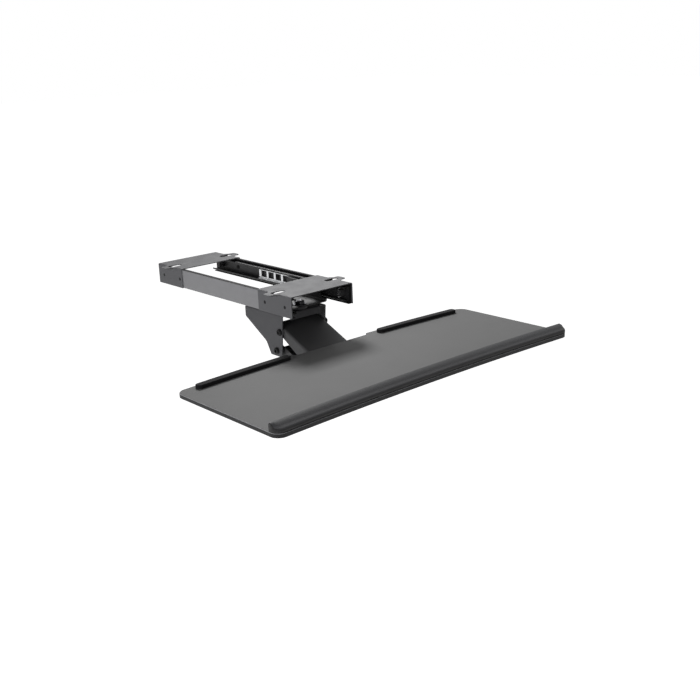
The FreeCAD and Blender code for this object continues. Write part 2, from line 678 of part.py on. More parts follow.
def ball_cage(side):
    """A bright channel with square windows; its flanges hold the balls."""
    level, half = "ball_level - cage_gauge / 2", "cage_half"
    upper = [("cage_mouth", level), ("cage_mouth", half), ("cage_back", half)]
    corners = upper + [(x, less(z)) for x, z in reversed(upper)]
    corners += [("cage_back - cage_gauge", less(level)), ("cage_back - cage_gauge", level)]
    sign = "-1" if side < 0 else "1"
    corners = [(f"{sign} * ({x})", f"-slide_drop + ({z})") for x, z in corners]
    section = prism("XZ", corners, ("cage_front", "cage_rear"), (((2, 3), "cage_gauge"),))
    tools = []
    for step in range(int(size("cage_windows"))):
        y = f"(cage_front + cage_rear) / 2 + ({step} - (cage_windows - 1) / 2) * cage_pitch"
        tools.append(block(across(side, "cage_back - cage_gauge - 1", "cage_back + 1"),
                           (f"{y} - cage_window_length / 2", f"{y} + cage_window_length / 2"),
                           ("-slide_drop - cage_window_height / 2", "-slide_drop + cage_window_height / 2")))
    for y in ball_rows():
        x = "ball_line" if side > 0 else "-ball_line"
        tools.append(rod("z", x, y, ("-slide_drop - cage_half - 1", "-slide_drop + cage_half + 1"),
                         "ball_size / 2 + ball_hole_play"))
    return cut(section, *tools)


def slide_balls(side):
    x = "ball_line" if side > 0 else "-ball_line"
    return group([ball(x, y, f"-slide_drop + {sign} * ball_level", "ball_size")
                  for y in ball_rows() for sign in (-1, 1)])


# Carriage

def screw_rows():
    return [f"carriage_rear - carriage_screw_setback - {step} * carriage_screw_pitch" for step in range(3)]


def carriage_plate():
    """A U channel that hangs between the two inner members, its walls set back behind its nose."""
    inner, top = "carriage_half - carriage_gauge", "-carriage_wall_drop"
    floor, nose = "-carriage_web_drop", "carriage_front + carriage_nose"
    low_edge = f"{floor} + carriage_nose_rise"
    section = prism("XZ", [("carriage_half", "carriage_under"), ("carriage_half", top), (inner, top),
                           (inner, floor), (less(inner), floor), (less(inner), top), ("-carriage_half", top),
                           ("-carriage_half", "carriage_under")], ("carriage_front", "carriage_rear"),
                    (((0, 7), "carriage_bend"), ((3, 4), "carriage_bend - carriage_gauge")))
    side_face = prism("YZ", [("carriage_front", "carriage_under"), ("carriage_rear", "carriage_under"),
                             ("carriage_rear", top), (nose, top), (f"{nose} - carriage_nose_slant", low_edge),
                             ("carriage_front", low_edge)], ("-half_width", "half_width"),
                      (((2, 3), "carriage_wall_corner"), ((4,), "carriage_nose_rise")))
    holes = [rod("z", "0", "swivel_y", ("carriage_under - 1", "0"), "swivel_bolt_size / 2")]
    holes += [rod("x", y, "-slide_drop", ("-half_width", "half_width"), "carriage_screw / 2")
              for y in screw_rows()]
    return cut(common(section, side_face), *holes)


def slide_spacers():
    made = []
    for side in (-1, 1):
        for y in screw_rows():
            pad = block(across(side, "carriage_half", "slide_mouth"),
                        (f"{y} - spacer_size / 2", f"{y} + spacer_size / 2"),
                        ("-slide_drop - spacer_size / 2", "-slide_drop + spacer_size / 2"))
            hole = rod("x", y, "-slide_drop", ("-half_width", "half_width"), "carriage_screw / 2")
            made.append(cut(pad, hole))
    return group(made)


def carriage_screws():
    made = []
    for side in (-1, 1):
        for y in screw_rows():
            face = "carriage_half - carriage_gauge"
            shank = rod("x", y, "-slide_drop", across(side, face, "slide_mouth + slide_gauge + 1"),
                        "carriage_screw / 2")
            head = rod("x", y, "-slide_drop", across(side, f"{face} - carriage_screw_rise", face),
                       "carriage_screw_head / 2")
            made.append(join(shank, head))
    return group(made)


def carriage_bumpers():
    made = []
    for side in (-1, 1):
        face = "carriage_half - carriage_gauge"
        y = "carriage_front + carriage_nose + bumper_setback + bumper_size / 2"
        made.append(rod("x", y, "-slide_drop", across(side, f"{face} - bumper_depth", face),
                        "bumper_size / 2"))
    return group(made)


# Swivel

def swivel_bolt():
    seat = "-carriage_web_drop + swivel_washer_gauge"
    head = hexagon("z", "0", "swivel_y", (seat, f"{seat} + swivel_head_rise"), "swivel_head_size")
    tail = "swivel_foot - swivel_nut_rise - swivel_tail"
    shank = rod("z", "0", "swivel_y", (tail, seat), "swivel_bolt_size / 2")
    return join(head, shank)


def ring(low, gauge, outer, hole):
    return tube("z", "0", "swivel_y", (low, f"{low} + {gauge}"), f"{outer} / 2", hole)


def swivel_nut():
    low = "swivel_foot - swivel_nut_rise"
    nut = hexagon("z", "0", "swivel_y", (low, "swivel_foot"), "swivel_head_size")
    return cut(nut, rod("z", "0", "swivel_y", (f"{low} - 1", "0"), "swivel_bolt_size / 2"))


# Arm bracket

def arm_bracket():
    """A saddle below the swivel: two side walls with pivot holes, a web on top and a lip in front."""
    section = prism("XZ", channel("bracket_half", "bracket_in", "bracket_top", "low_z - 20", "bracket_gauge"),
                    ("bracket_front - nose_reach", "bracket_rear"),
                    (((0, 1), "bracket_bend"), ((4, 5), "bracket_bend - bracket_gauge")))
    corners = [("bracket_front", "bracket_top"), ("bracket_front + nose_setback", "bracket_top - nose_drop"),
               ("low_y - toe_front", "low_z - toe_drop"), ("low_y + toe_back", "low_z - toe_drop"),
               ("up_y + knee_back", "up_z - knee_drop"),
               ("bracket_rear", "bracket_top - bracket_tail_drop"), ("bracket_rear", "bracket_top")]
    side_face = prism("YZ", corners, ("-half_width", "half_width"),
                      (((3, 5, 6), "bracket_corner"), ((2,), "toe_round"), ((4,), "knee_round")))
    lip = prism("YZ", [("bracket_front + 4", "bracket_top"), ("bracket_front - nose_reach", "bracket_top"),
                       ("bracket_front - nose_reach", "bracket_top - bracket_lip_drop"),
                       ("bracket_front - nose_reach + bracket_gauge", "bracket_top - bracket_lip_drop"),
                       ("bracket_front - nose_reach + bracket_gauge", "bracket_top - bracket_gauge"),
                       ("bracket_front + 4", "bracket_top - bracket_gauge")],
                ("-bracket_lip_half", "bracket_lip_half"), (((1,), "bracket_gauge + 0.6"), ((4,), "0.6")))
    reliefs = [block(across(side, "bracket_lip_half", "bracket_lip_half + bracket_lip_gap"),
                     ("bracket_front - 3", "bracket_front + 5"), ("bracket_top - 20", "bracket_top + 1"))
               for side in (-1, 1)]
    saddle = join(cut(common(section, side_face), *reliefs), lip)
    holes = [rod("z", "0", "swivel_y", ("bracket_under - 1", "bracket_top + 1"),
                 "swivel_bolt_size / 2 + shaft_play")]
    holes += [rod("x", y, z, ("-half_width", "half_width"), "pivot_radius")
              for y, z in (("up_y", "up_z"), ("low_y", "low_z"))]
    return cut(saddle, *holes)


def button_bolt(y, z, face, end):
    """A button-head bolt across the mechanism; its head bears on the left face, its shank ends at end."""
    top = f"-({face}) - pivot_head_rise"
    head = rod("x", y, z, (top, less(face)), "pivot_head_size / 2")
    crown = rounded(head, "pivot_head_rise - pivot_head_rim", lambda edge: at(edge, x=size(top)))
    return join(crown, rod("x", y, z, (less(face), end), "pivot_radius"))


def pivot_bolt(y, z, face):
    """face is where the head and the nut bear."""
    return button_bolt(y, z, face, f"{face} + pivot_nut_rise + pivot_tail")


def pivot_nut(y, z, face):
    nut = hexagon("x", y, z, (face, f"{face} + pivot_nut_rise"), "pivot_nut_size")
    return cut(nut, rod("x", y, z, ("0", f"{face} + pivot_nut_rise + 1"), "pivot_radius"))


def link_spacers(y, z, outer):
    return group([tube("x", y, z, across(side, "link_half + sleeve_play", outer), "sleeve_size / 2",
                       "pivot_radius") for side in (-1, 1)])


def spring_spool():
    return tube("x", "up_y", "up_z", ("-arm_in + spool_play", "arm_in - spool_play"), "spool_radius",
                "pivot_radius")


def lift_spring():
    return tube("x", "up_y", "up_z", ("-spring_span / 2", "spring_span / 2"), "spring_size / 2",
                "spool_radius + spring_play")


# Lift arm and lower link, each made level along -Y from its rear pivot

def upper_arm():
    """A cover that is folded down at both sides; its flanges run on below the board to the front pivot."""
    cover = prism("XZ", channel("arm_half", "arm_in", "arm_crown", "0", "arm_gauge"),
                  ("-arm_cover_length", "arm_tail"), (((0, 1), "arm_bend"), ((4, 5), "arm_bend - arm_gauge")))
    eye_front, eye_rear = "-arm_length - arm_eye", "-arm_length + arm_eye"
    corners = [("arm_tail", "arm_crown / 3"), ("arm_tail", "-arm_tail_drop"),
               ("-arm_skirt_run", "-arm_skirt"), (eye_front, "-arm_skirt"), (eye_front, "arm_eye"),
               (eye_rear, "arm_eye"), (eye_rear, "-arm_relief"),
               ("-arm_cover_length - arm_relief_slant", "-arm_relief"),
               ("-arm_cover_length", "arm_crown / 3")]
    rounds = (((1,), "arm_bend"), ((3,), "arm_eye"), ((4, 5), "arm_eye - 0.4"), ((6, 7), "arm_relief / 2"))
    flanges = [prism("YZ", corners, across(side, "arm_in", "arm_half"), rounds) for side in (-1, 1)]
    holes = [rod("x", y, "0", ("-half_width", "half_width"), "bush_size / 2") for y in ("0", "-arm_length")]
    return tipped(cut(join(cover, *flanges), *holes), "up_y", "up_z", "arm_slope")


def arm_bushes():
    made = []
    for side in (-1, 1):
        for y in ("0", "-arm_length"):
            body = rod("x", y, "0", across(side, "arm_in", "arm_half"), "bush_size / 2")
            collar = rod("x", y, "0", across(side, "arm_half", "bracket_in - slip"), "bush_collar / 2")
            bore = rod("x", y, "0", ("-half_width", "half_width"), "pivot_hole")
            made.append(cut(join(body, collar), bore))
    return tipped(group(made), "up_y", "up_z", "arm_slope")


def lower_link():
    half = "link_height / 2"
    inner = "link_half - link_gauge"
    section = prism("XZ", [("link_half", less(half)), ("link_half", half), (inner, half),
                           (inner, f"link_gauge - {half}"),
                           (less(inner), f"link_gauge - {half}"), (less(inner), half), ("-link_half", half),
                           ("-link_half", less(half))], (f"-arm_length - {half}", half),
                    (((0, 7), "link_gauge + 1"), ((3, 4), "1")))
    side_face = prism("YZ", [(half, half), (half, less(half)), (f"-arm_length - {half}", less(half)),
                             (f"-arm_length - {half}", half)], ("-half_width", "half_width"),
                      (((0, 1, 2, 3), f"{half} - 0.4"),))
    holes = [rod("x", y, "0", ("-half_width", "half_width"), "link_bush_size / 2")
             for y in ("0", "-arm_length")]
    return tipped(cut(common(section, side_face), *holes), "low_y", "low_z", "arm_slope")


def link_bushes():
    made = []
    for side in (-1, 1):
        for y, bore in (("0", "pivot_hole"), ("-arm_length", "pivot_radius + open_pivot_play")):
            made.append(tube("x", y, "0", across(side, "link_half - link_bush_length", "link_half"),
                             "link_bush_size / 2", bore))
    return tipped(group(made), "low_y", "low_z", "arm_slope")


# Tilting head

def head_bracket():
    """Two cheeks joined by a front face; the arm's bolts and the clamp bolt cross it."""
    rear, front = "tilt_y + bracket_half", "tilt_y - head_front"
    inner = "bracket_half - head_gauge"
    plan = prism("XY", [("-bracket_half", rear), ("-bracket_half", front), ("bracket_half", front),
                        ("bracket_half", rear), (inner, rear), (inner, f"{front} + head_gauge"),
                        (less(inner), f"{front} + head_gauge"), (less(inner), rear)],
                 ("foot_z - head_front", "tilt_z + head_front"),
                 (((1, 2), "head_bend"), ((5, 6), "head_bend - head_gauge")))
    side_face = prism("YZ", [("tilt_y + head_rear", "tilt_z + head_rise"),
                             ("tilt_y - head_front", "tilt_z + head_rise"),
                             ("tilt_y - head_front", "tilt_z - head_face_drop"),
                             ("foot_y - head_heel", "foot_z - head_heel"),
                             ("foot_y + head_heel", "foot_z - head_heel"),
                             ("foot_y + head_heel", "foot_z + head_heel")], ("-half_width", "half_width"),
                      (((0, 1, 2), "head_corner"), ((3, 4), "head_heel - 2")))
    holes = [rod("x", y, z, ("-half_width", "half_width"), "pivot_radius")
             for y, z in (("tilt_y", "tilt_z"), ("foot_y", "foot_z"), ("clamp_y", "tilt_z"))]
    return cut(common(plan, side_face), *holes)


def clamp_bolt():
    return button_bolt("clamp_y", "tilt_z", "ear_outer + slip", "knob_inner + knob_depth - knob_cap - 1")


def clamp_washer():
    return tube("x", "clamp_y", "tilt_z", ("ear_outer + slip", "knob_inner - slip"), "clamp_washer_size / 2",
                "pivot_radius")


def tilt_knob():
    """A lobed hand knob on the end of the clamp bolt."""
    span = ("knob_inner", "knob_inner + knob_depth")
    body = rod("x", "clamp_y", "tilt_z", span, "knob_size / 2")
    past = ("knob_inner + knob_foot", "knob_inner + knob_depth + 1")
    reach = "(knob_size / 2 + knob_lobe_out)"
    scallops = []
    for step in range(int(size("knob_lobes"))):
        angle = f"360 * {step} / knob_lobes"
        scallops.append(rod("x", f"clamp_y + {reach} * cos({angle})", f"tilt_z + {reach} * sin({angle})",
                            past, "knob_lobe_size / 2"))
    bore = rod("x", "clamp_y", "tilt_z", ("knob_inner - 1", "knob_inner + knob_depth - knob_cap"),
               "knob_insert_size / 2")
    return cut(body, *scallops, bore)


def knob_insert():
    return tube("x", "clamp_y", "tilt_z", ("knob_inner", "knob_inner + knob_depth - knob_cap"),
                "knob_insert_size / 2", "pivot_hole")


# Tray

def arc_slot(inner, outer):
    """The arc in an ear that lets the clamp bolt follow the tilt."""
    half = "pivot_radius + slot_play"
    below, above = "tilt_up + tilt_slack", "tilt_down + tilt_slack"
    pieces = []
    for reach in (f"clamp_radius + {half}", f"clamp_radius - ({half})"):
        sector = rod("x", "tilt_y", "tilt_z", (inner, outer), reach)
        bind(sector, {"Angle": f"{below} + {above}"})
        start = 270 - size(above)
        sector.Placement.Rotation = Rotation(Vector(0, 1, 0), 90).multiply(Rotation(Vector(0, 0, 1), start))
        pieces.append(sector)
    ends = [rod("x", f"tilt_y - clamp_radius * cos({angle})",
                f"tilt_z + {sign} * clamp_radius * sin({angle})", (inner, outer), half)
            for angle, sign in ((above, 1), (below, -1))]
    return [cut(*pieces)] + ends


def tilt_plate():
    """The steel plate below the board, with an ear each side of the head."""
    half, front, rear = "tilt_plate_width / 2", "tilt_y - tilt_plate_front", "tilt_y + tilt_plate_rear"
    plate = prism("XY", [(less(half), front), (half, front), (half, rear), (less(half), rear)],
                  ("plate_under", "board_under"), (((0, 1, 2, 3), "tilt_plate_corner"),))
    ears, holes = [], []
    for side in (-1, 1):
        corners = [("tilt_y + tilt_ear_rear", "board_under"),
                   ("tilt_y + tilt_ear_rear", "tilt_z - tilt_ear_drop + tilt_ear_slant"),
                   ("tilt_y + tilt_ear_rear - tilt_ear_slant", "tilt_z - tilt_ear_drop"),
                   ("clamp_y - tilt_ear_front", "tilt_z - tilt_ear_drop"),
                   ("clamp_y - tilt_ear_front - tilt_ear_slant", "board_under")]
        ears.append(prism("YZ", corners, across(side, "ear_inner", "ear_outer"),
                          (((1, 2, 3), "tilt_ear_corner"),)))
        holes += arc_slot(*across(side, "ear_inner - 1", "ear_outer + 1"))
    holes.append(rod("x", "tilt_y", "tilt_z", ("-half_width", "half_width"), "pivot_hole"))
    holes += [rod("z", x, y, ("plate_under - 1", "board_under + 1"), "tray_screw_size / 2")
              for x, y in screw_spots()]
    return cut(join(plate, *ears), *holes)


def screw_spots():
    front = "tilt_y - tilt_plate_front + tray_screw_inset"
    rear = "tilt_y + tilt_plate_rear - tray_screw_inset"
    rows = (front, f"({front} + {rear}) / 2", rear)
    return [(x, y) for x in ("-tray_screw_reach", "tray_screw_reach") for y in rows]


def tray_screws():
    made = []
    for x, y in screw_spots():
        shank = rod("z", x, y, ("plate_under", "board_under + tray_screw_bite"), "tray_screw_size / 2")
        head = rod("z", x, y, ("plate_under - tray_screw_rise", "plate_under"), "tray_screw_head / 2")
        made.append(join(shank, head))
    return group(made)


def tray_board():
    """A flat board with both long edges bowed, rounded corners and a notch over the arm."""
    levels = ("board_under", "board_top")
    past = ("board_under - 1", "board_top + 1")
    blank = block(("-board_half", "board_half"), ("end_front_y", "rear_y"), levels)
    bowed = cut(common(blank, rod("z", "0", "rear_centre", past, "rear_radius")),
                rod("z", "0", "front_centre", past, "front_radius"))
    front = rounded(bowed, "front_corner",
                    lambda edge: along(edge, "z") and edge.BoundBox.YMin < size("front_y"))
    corners = rounded(front, "rear_corner",
                      lambda edge: along(edge, "z") and near(abs(edge.BoundBox.XMin), size("board_half"))
                      and edge.BoundBox.YMin > size("front_y"))
    mouth, floor, half = "rear_y + notch_margin", "rear_y - notch_depth", "notch_half - notch_taper"
    notch = prism("XY", [("-notch_half", mouth), (less(half), floor), (half, floor), ("notch_half", mouth)],
                  past, (((1, 2), "notch_round"),))
    eased = rounded(corners, "edge_round", lambda edge: near(edge.BoundBox.ZMin, edge.BoundBox.ZMax, 0.001))
    holes = [rod("z", x, y, ("board_under - 1", "board_under + tray_screw_bite"), "tray_screw_size / 2")
             for x, y in screw_spots()]
    return cut(eased, notch, *holes)


def palm_rest():
    """A padded bar along the front edge: its section is carried round the edge's own bow."""
    body = new_body()
    crest = "front_y + palm_depth"
    sketch = outline_sketch(body, "YZ", "0", [("front_y", "board_top"), (crest, "board_top"),
                                             (crest, "board_top + palm_height"),
                                             ("front_y", "board_top + palm_front_height")])
    low, high = Vector(size("front_centre"), 0, 0), Vector(size("front_centre"), size("palm_height"), 0)
    axis = sketch.addGeometry(Part.LineSegment(low, high), True)
    sketch.addConstraint(Sketcher.Constraint("Vertical", axis))
    place = sketch.addConstraint(Sketcher.Constraint("DistanceX", -1, 1, axis, 1, size("front_centre")))
    sketch.setExpression(f"Constraints[{place}]", expression("front_centre"))
    turn = body.newObject("PartDesign::Revolution", "turn")
    turn.Profile = sketch
    turn.ReferenceAxis = (sketch, ["Axis0"])
    turn.Midplane = True
    bind(turn, {"Angle": "2 * asin(board_half / front_radius) + 0.4 deg"})
    sketch.Visibility = False
    crest_level, front_level = size("board_top + palm_height"), size("board_top + palm_front_height")
    crowned = rounded(body, "palm_crest_round", lambda edge: near(edge.BoundBox.ZMin, crest_level, 0.001))
    eased = rounded(crowned, "palm_front_round", lambda edge: near(edge.BoundBox.ZMin, front_level, 0.001)
                    and near(edge.BoundBox.ZMax, front_level, 0.001))
    end = "board_half - palm_end_inset"
    plan = prism("XY", [(less(end), "end_front_y"), (end, "end_front_y"), (end, f"{crest} + 1"),
                        (less(end), f"{crest} + 1")], ("board_top - 1", "board_top + palm_height + 1"),
                 (((0, 1), "front_corner - palm_end_inset"),))
    return common(eased, plan)


def stop_strip(side):
    """A raised strip near the rear edge that keeps the keyboard on the board."""
    levels = ("board_top", "board_top + strip_height")
    past = ("board_top - 1", "board_top + strip_height + 1")
    bar = cut(common(rod("z", "0", "rear_centre", levels, "rear_radius - strip_inset"),
                     block(across(side, "strip_near", "strip_far"), ("end_front_y", "rear_y"), levels)),
              rod("z", "0", "rear_centre", past, "rear_radius - strip_inset - strip_depth"))
    ends = rounded(bar, "strip_corner", lambda edge: along(edge, "z"))
    return rounded(ends, "strip_round",
                   lambda edge: near(edge.BoundBox.ZMin, size("board_top + strip_height"), 0.001))


# The whole

SIDES = (("left", -1), ("right", 1))


def build_frame():
    publish("front_mount_plate", mount_plate(-1))
    publish("rear_mount_plate", mount_plate(1))
    for name, side in SIDES:
        publish(f"{name}_rail", rail(side))
        publish(f"{name}_slide_outer", outer_member(side))
    publish("frame_rivets", frame_rivets())
    publish("slide_rivets", slide_rivets())
    publish("front_slide_stops", slide_stops("runner_front - stop_gap - stop_length"))
    publish("rear_slide_stops", slide_stops("rear_stop"))


def build_carriage():
    for name, side in SIDES:
        publish(f"{name}_ball_cage", ball_cage(side))
        publish(f"{name}_slide_balls", slide_balls(side))
        publish(f"{name}_slide_inner", inner_member(side))
    publish("carriage_plate", carriage_plate())
    publish("slide_spacers", slide_spacers())
    publish("carriage_screws", carriage_screws())
    publish("carriage_bumpers", carriage_bumpers())
    publish("swivel_bolt", swivel_bolt())
    publish("swivel_top_washer", ring("-carriage_web_drop", "swivel_washer_gauge", "swivel_washer_size",
                                      "swivel_bolt_size / 2"))
    publish("swivel_thrust_washer", ring("thrust_top - thrust_gauge", "thrust_gauge", "thrust_size",
                                         "swivel_bolt_size / 2"))
    publish("swivel_bottom_washer", ring("swivel_foot", "swivel_washer_gauge", "swivel_washer_size",
                                         "swivel_bolt_size / 2"))
    publish("swivel_nut", swivel_nut())


def build_bracket():
    publish("arm_bracket", arm_bracket())
    publish("rear_upper_bolt", pivot_bolt("up_y", "up_z", "bracket_half"))
    publish("rear_lower_bolt", pivot_bolt("low_y", "low_z", "bracket_half"))
    publish("bracket_nuts", group([pivot_nut("up_y", "up_z", "bracket_half"),
                                   pivot_nut("low_y", "low_z", "bracket_half")]))
    publish("rear_link_spacers", link_spacers("low_y", "low_z", "bracket_in"))
    publish("spring_spool", spring_spool())
    publish("lift_spring", lift_spring())


def build_arm():
    publish("upper_arm", upper_arm())
    publish("arm_bushes", arm_bushes())
    publish("lower_link", lower_link())
    publish("link_bushes", link_bushes())


def build_head():
    publish("head_bracket", head_bracket())
    publish("front_upper_bolt", pivot_bolt("tilt_y", "tilt_z", "ear_outer + slip"))
    publish("front_lower_bolt", pivot_bolt("foot_y", "foot_z", "bracket_half"))
    publish("head_nuts", group([pivot_nut("tilt_y", "tilt_z", "ear_outer + slip"),
                                pivot_nut("foot_y", "foot_z", "bracket_half")]))
    publish("front_link_spacers", link_spacers("foot_y", "foot_z", "bracket_half - head_gauge"))
    publish("clamp_bolt", clamp_bolt())
    publish("clamp_washer", clamp_washer())
    publish("tilt_knob", tilt_knob())
    publish("knob_insert", knob_insert())


def build_tray():
    publish("tilt_plate", tilt_plate())
    publish("tray_screws", tray_screws())
    publish("tray_board", tray_board())
    publish("palm_rest", palm_rest())
    for name, side in SIDES:
        publish(f"{name}_stop_strip", stop_strip(side))


def write_nodes():
    DOC.recompute()
    for item in DOC.Objects:
        if "Invalid" in item.State or "Error" in item.State:
            raise RuntimeError(f"{item.Name} ({item.Label}) is {item.State}")
    os.makedirs("parts", exist_ok=True)
    for node in NODES:
        shape = node.Shape
        if shape.isNull() or not shape.isValid() or not shape.Solids:
            raise RuntimeError(f"{node.Label} has no valid solid")
        shape.exportStep(os.path.join("parts", node.Label + ".step"))


fill_sheet()
build_frame()
build_carriage()
build_bracket()
build_arm()
build_head()
build_tray()
write_nodes()
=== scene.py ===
"""Looks of the under-desk keyboard tray: a dark laminate board on a black steel arm, below a mount frame.

Metres, in the frame of the solids: +X to the user's right, +Y under the desk, +Z up.
"""
import bpy
import json
import math
from mathutils import Matrix, Vector


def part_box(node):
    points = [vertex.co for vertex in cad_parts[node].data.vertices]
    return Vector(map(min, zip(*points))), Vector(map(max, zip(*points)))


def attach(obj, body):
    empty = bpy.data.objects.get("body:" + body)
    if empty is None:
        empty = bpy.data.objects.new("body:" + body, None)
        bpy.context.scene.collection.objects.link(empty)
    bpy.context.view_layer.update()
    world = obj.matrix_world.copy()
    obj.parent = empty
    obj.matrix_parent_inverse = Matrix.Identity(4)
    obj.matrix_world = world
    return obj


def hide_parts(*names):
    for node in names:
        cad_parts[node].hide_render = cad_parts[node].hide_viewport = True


MM = 0.001
X, Y, Z = range(3)
LOWEST, MIDDLE, HIGHEST = 0, 0.5, 1
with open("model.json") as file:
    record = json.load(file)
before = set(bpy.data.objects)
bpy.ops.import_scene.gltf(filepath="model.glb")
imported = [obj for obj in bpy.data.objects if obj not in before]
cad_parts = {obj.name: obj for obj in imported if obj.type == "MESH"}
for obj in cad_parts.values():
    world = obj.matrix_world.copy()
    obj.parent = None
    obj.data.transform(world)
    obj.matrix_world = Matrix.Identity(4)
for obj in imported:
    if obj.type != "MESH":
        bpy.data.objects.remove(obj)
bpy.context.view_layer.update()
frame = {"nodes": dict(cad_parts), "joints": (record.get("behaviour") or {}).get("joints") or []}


def place(node, axis, share):
    """A coordinate of a node of the solids, in millimetres; share runs from its lowest to its highest."""
    low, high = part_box(node)
    return (low[axis] + share * (high[axis] - low[axis])) / MM


def pivot(name):
    """Y and Z of the axis of a joint, in millimetres."""
    joint = next(joint for joint in frame["joints"] if joint["name"] == name)
    return joint["pos_m"][Y] / MM, joint["pos_m"][Z] / MM


# Sizes and places that the dressed pieces share with the solids, in millimetres.
BOARD_TOP = place("tray_board", Z, HIGHEST)
BOARD_HALF = place("tray_board", X, HIGHEST)
UPPER_PIVOT = pivot("arm_lift")
LOWER_PIVOT = pivot("lower_link_lift")
TILT_AXIS = pivot("tray_tilt")
# The lift is a parallelogram, so the link's front pivot stands to the tilt axis as its rear one to the arm's.
FOOT_PIVOT = tuple(tilt + lower - upper for tilt, lower, upper in zip(TILT_AXIS, LOWER_PIVOT, UPPER_PIVOT))
CLAMP = pivot("tilt_knob_turn")
SWIVEL_Y = pivot("swivel")[0]
BRACKET_FACE = place("arm_bracket", X, HIGHEST)
EAR_FACE = place("clamp_washer", X, LOWEST)
RAIL_FACE = place("right_rail", X, HIGHEST)


# Nodes and materials

# Settings that many nodes share.
COLOURS = {"data_type": "RGBA"}
NUMBERS = {"data_type": "FLOAT"}
DARKEN = {"data_type": "RGBA", "blend_type": "MULTIPLY"}
UNSIGNED = {"operation": "ABSOLUTE"}
# Most of a noise lies between these values.
NOISE_RANGE = {"From Min": 0.3, "From Max": 0.7}


def linear(text):
    """A colour written as sRGB hex, as the renderer's linear values."""
    parts = [int(text[i:i + 2], 16) / 255 for i in (1, 3, 5)]
    return tuple(c / 12.92 if c <= 0.04045 else ((c + 0.055) / 1.055) ** 2.4 for c in parts) + (1.0,)


def add(tree, kind, settings=None, inputs=None):
    """Add a node; a socket among its inputs is linked and anything else is set."""
    made = tree.nodes.new(kind)
    for name, value in (settings or {}).items():
        setattr(made, name, value)
    for key, value in (inputs or {}).items():
        if isinstance(value, bpy.types.NodeSocket):
            tree.links.new(value, made.inputs[key])
        else:
            made.inputs[key].default_value = value
    return made


def start(name):
    """An empty node material, and the object coordinates that its patterns read."""
    material = bpy.data.materials.new(name)
    material.use_nodes = True
    tree = material.node_tree
    tree.nodes.clear()
    coords = add(tree, "ShaderNodeTexCoord").outputs["Object"]
    return material, tree, coords


def coated_steel(name, low, high, rough, grain_mm, grain_depth, ior=1.5, bare_end_and_highlight=None):
    """Steel under a thin black coat: a slight mottle, and the fine grain of the coat.

    The last argument is the colour of bare steel on the faces that look along Y, bright enough to be a
    painted highlight there as well.
    """
    material, tree, coords = start(name)
    mottle = add(tree, "ShaderNodeTexNoise", None,
                 {"Vector": coords, "Scale": 1 / (24 * MM), "Detail": 3}).outputs["Fac"]
    grain = add(tree, "ShaderNodeTexNoise", None,
                {"Vector": coords, "Scale": 1 / (grain_mm * MM), "Detail": 2}).outputs["Fac"]
    colour = add(tree, "ShaderNodeMix", COLOURS, {0: mottle, 6: linear(low), 7: linear(high)}).outputs[2]
    if bare_end_and_highlight:
        normal = add(tree, "ShaderNodeNewGeometry").outputs["Normal"]
        lengthways = add(tree, "ShaderNodeSeparateXYZ", None, {0: normal}).outputs["Y"]
        squarely = add(tree, "ShaderNodeMath", UNSIGNED, {0: lengthways}).outputs[0]
        end = add(tree, "ShaderNodeMapRange", None,
                  {"Value": squarely, "From Min": 0.9, "From Max": 0.98}).outputs[0]
        colour = add(tree, "ShaderNodeMix", COLOURS, {0: end, 6: colour, 7: linear(bare_end_and_highlight)}).outputs[2]
    gloss = add(tree, "ShaderNodeMapRange", None,
                {"Value": mottle, **NOISE_RANGE, "To Min": rough - 0.05, "To Max": rough + 0.05}).outputs[0]
    relief = add(tree, "ShaderNodeBump", None, {"Height": grain, "Distance": grain_depth * MM}).outputs[0]
    shader = add(tree, "ShaderNodeBsdfPrincipled", None,
                 {"Base Color": colour, "Roughness": gloss, "IOR": ior, "Normal": relief}).outputs[0]
    add(tree, "ShaderNodeOutputMaterial", None, {"Surface": shader})
    return material


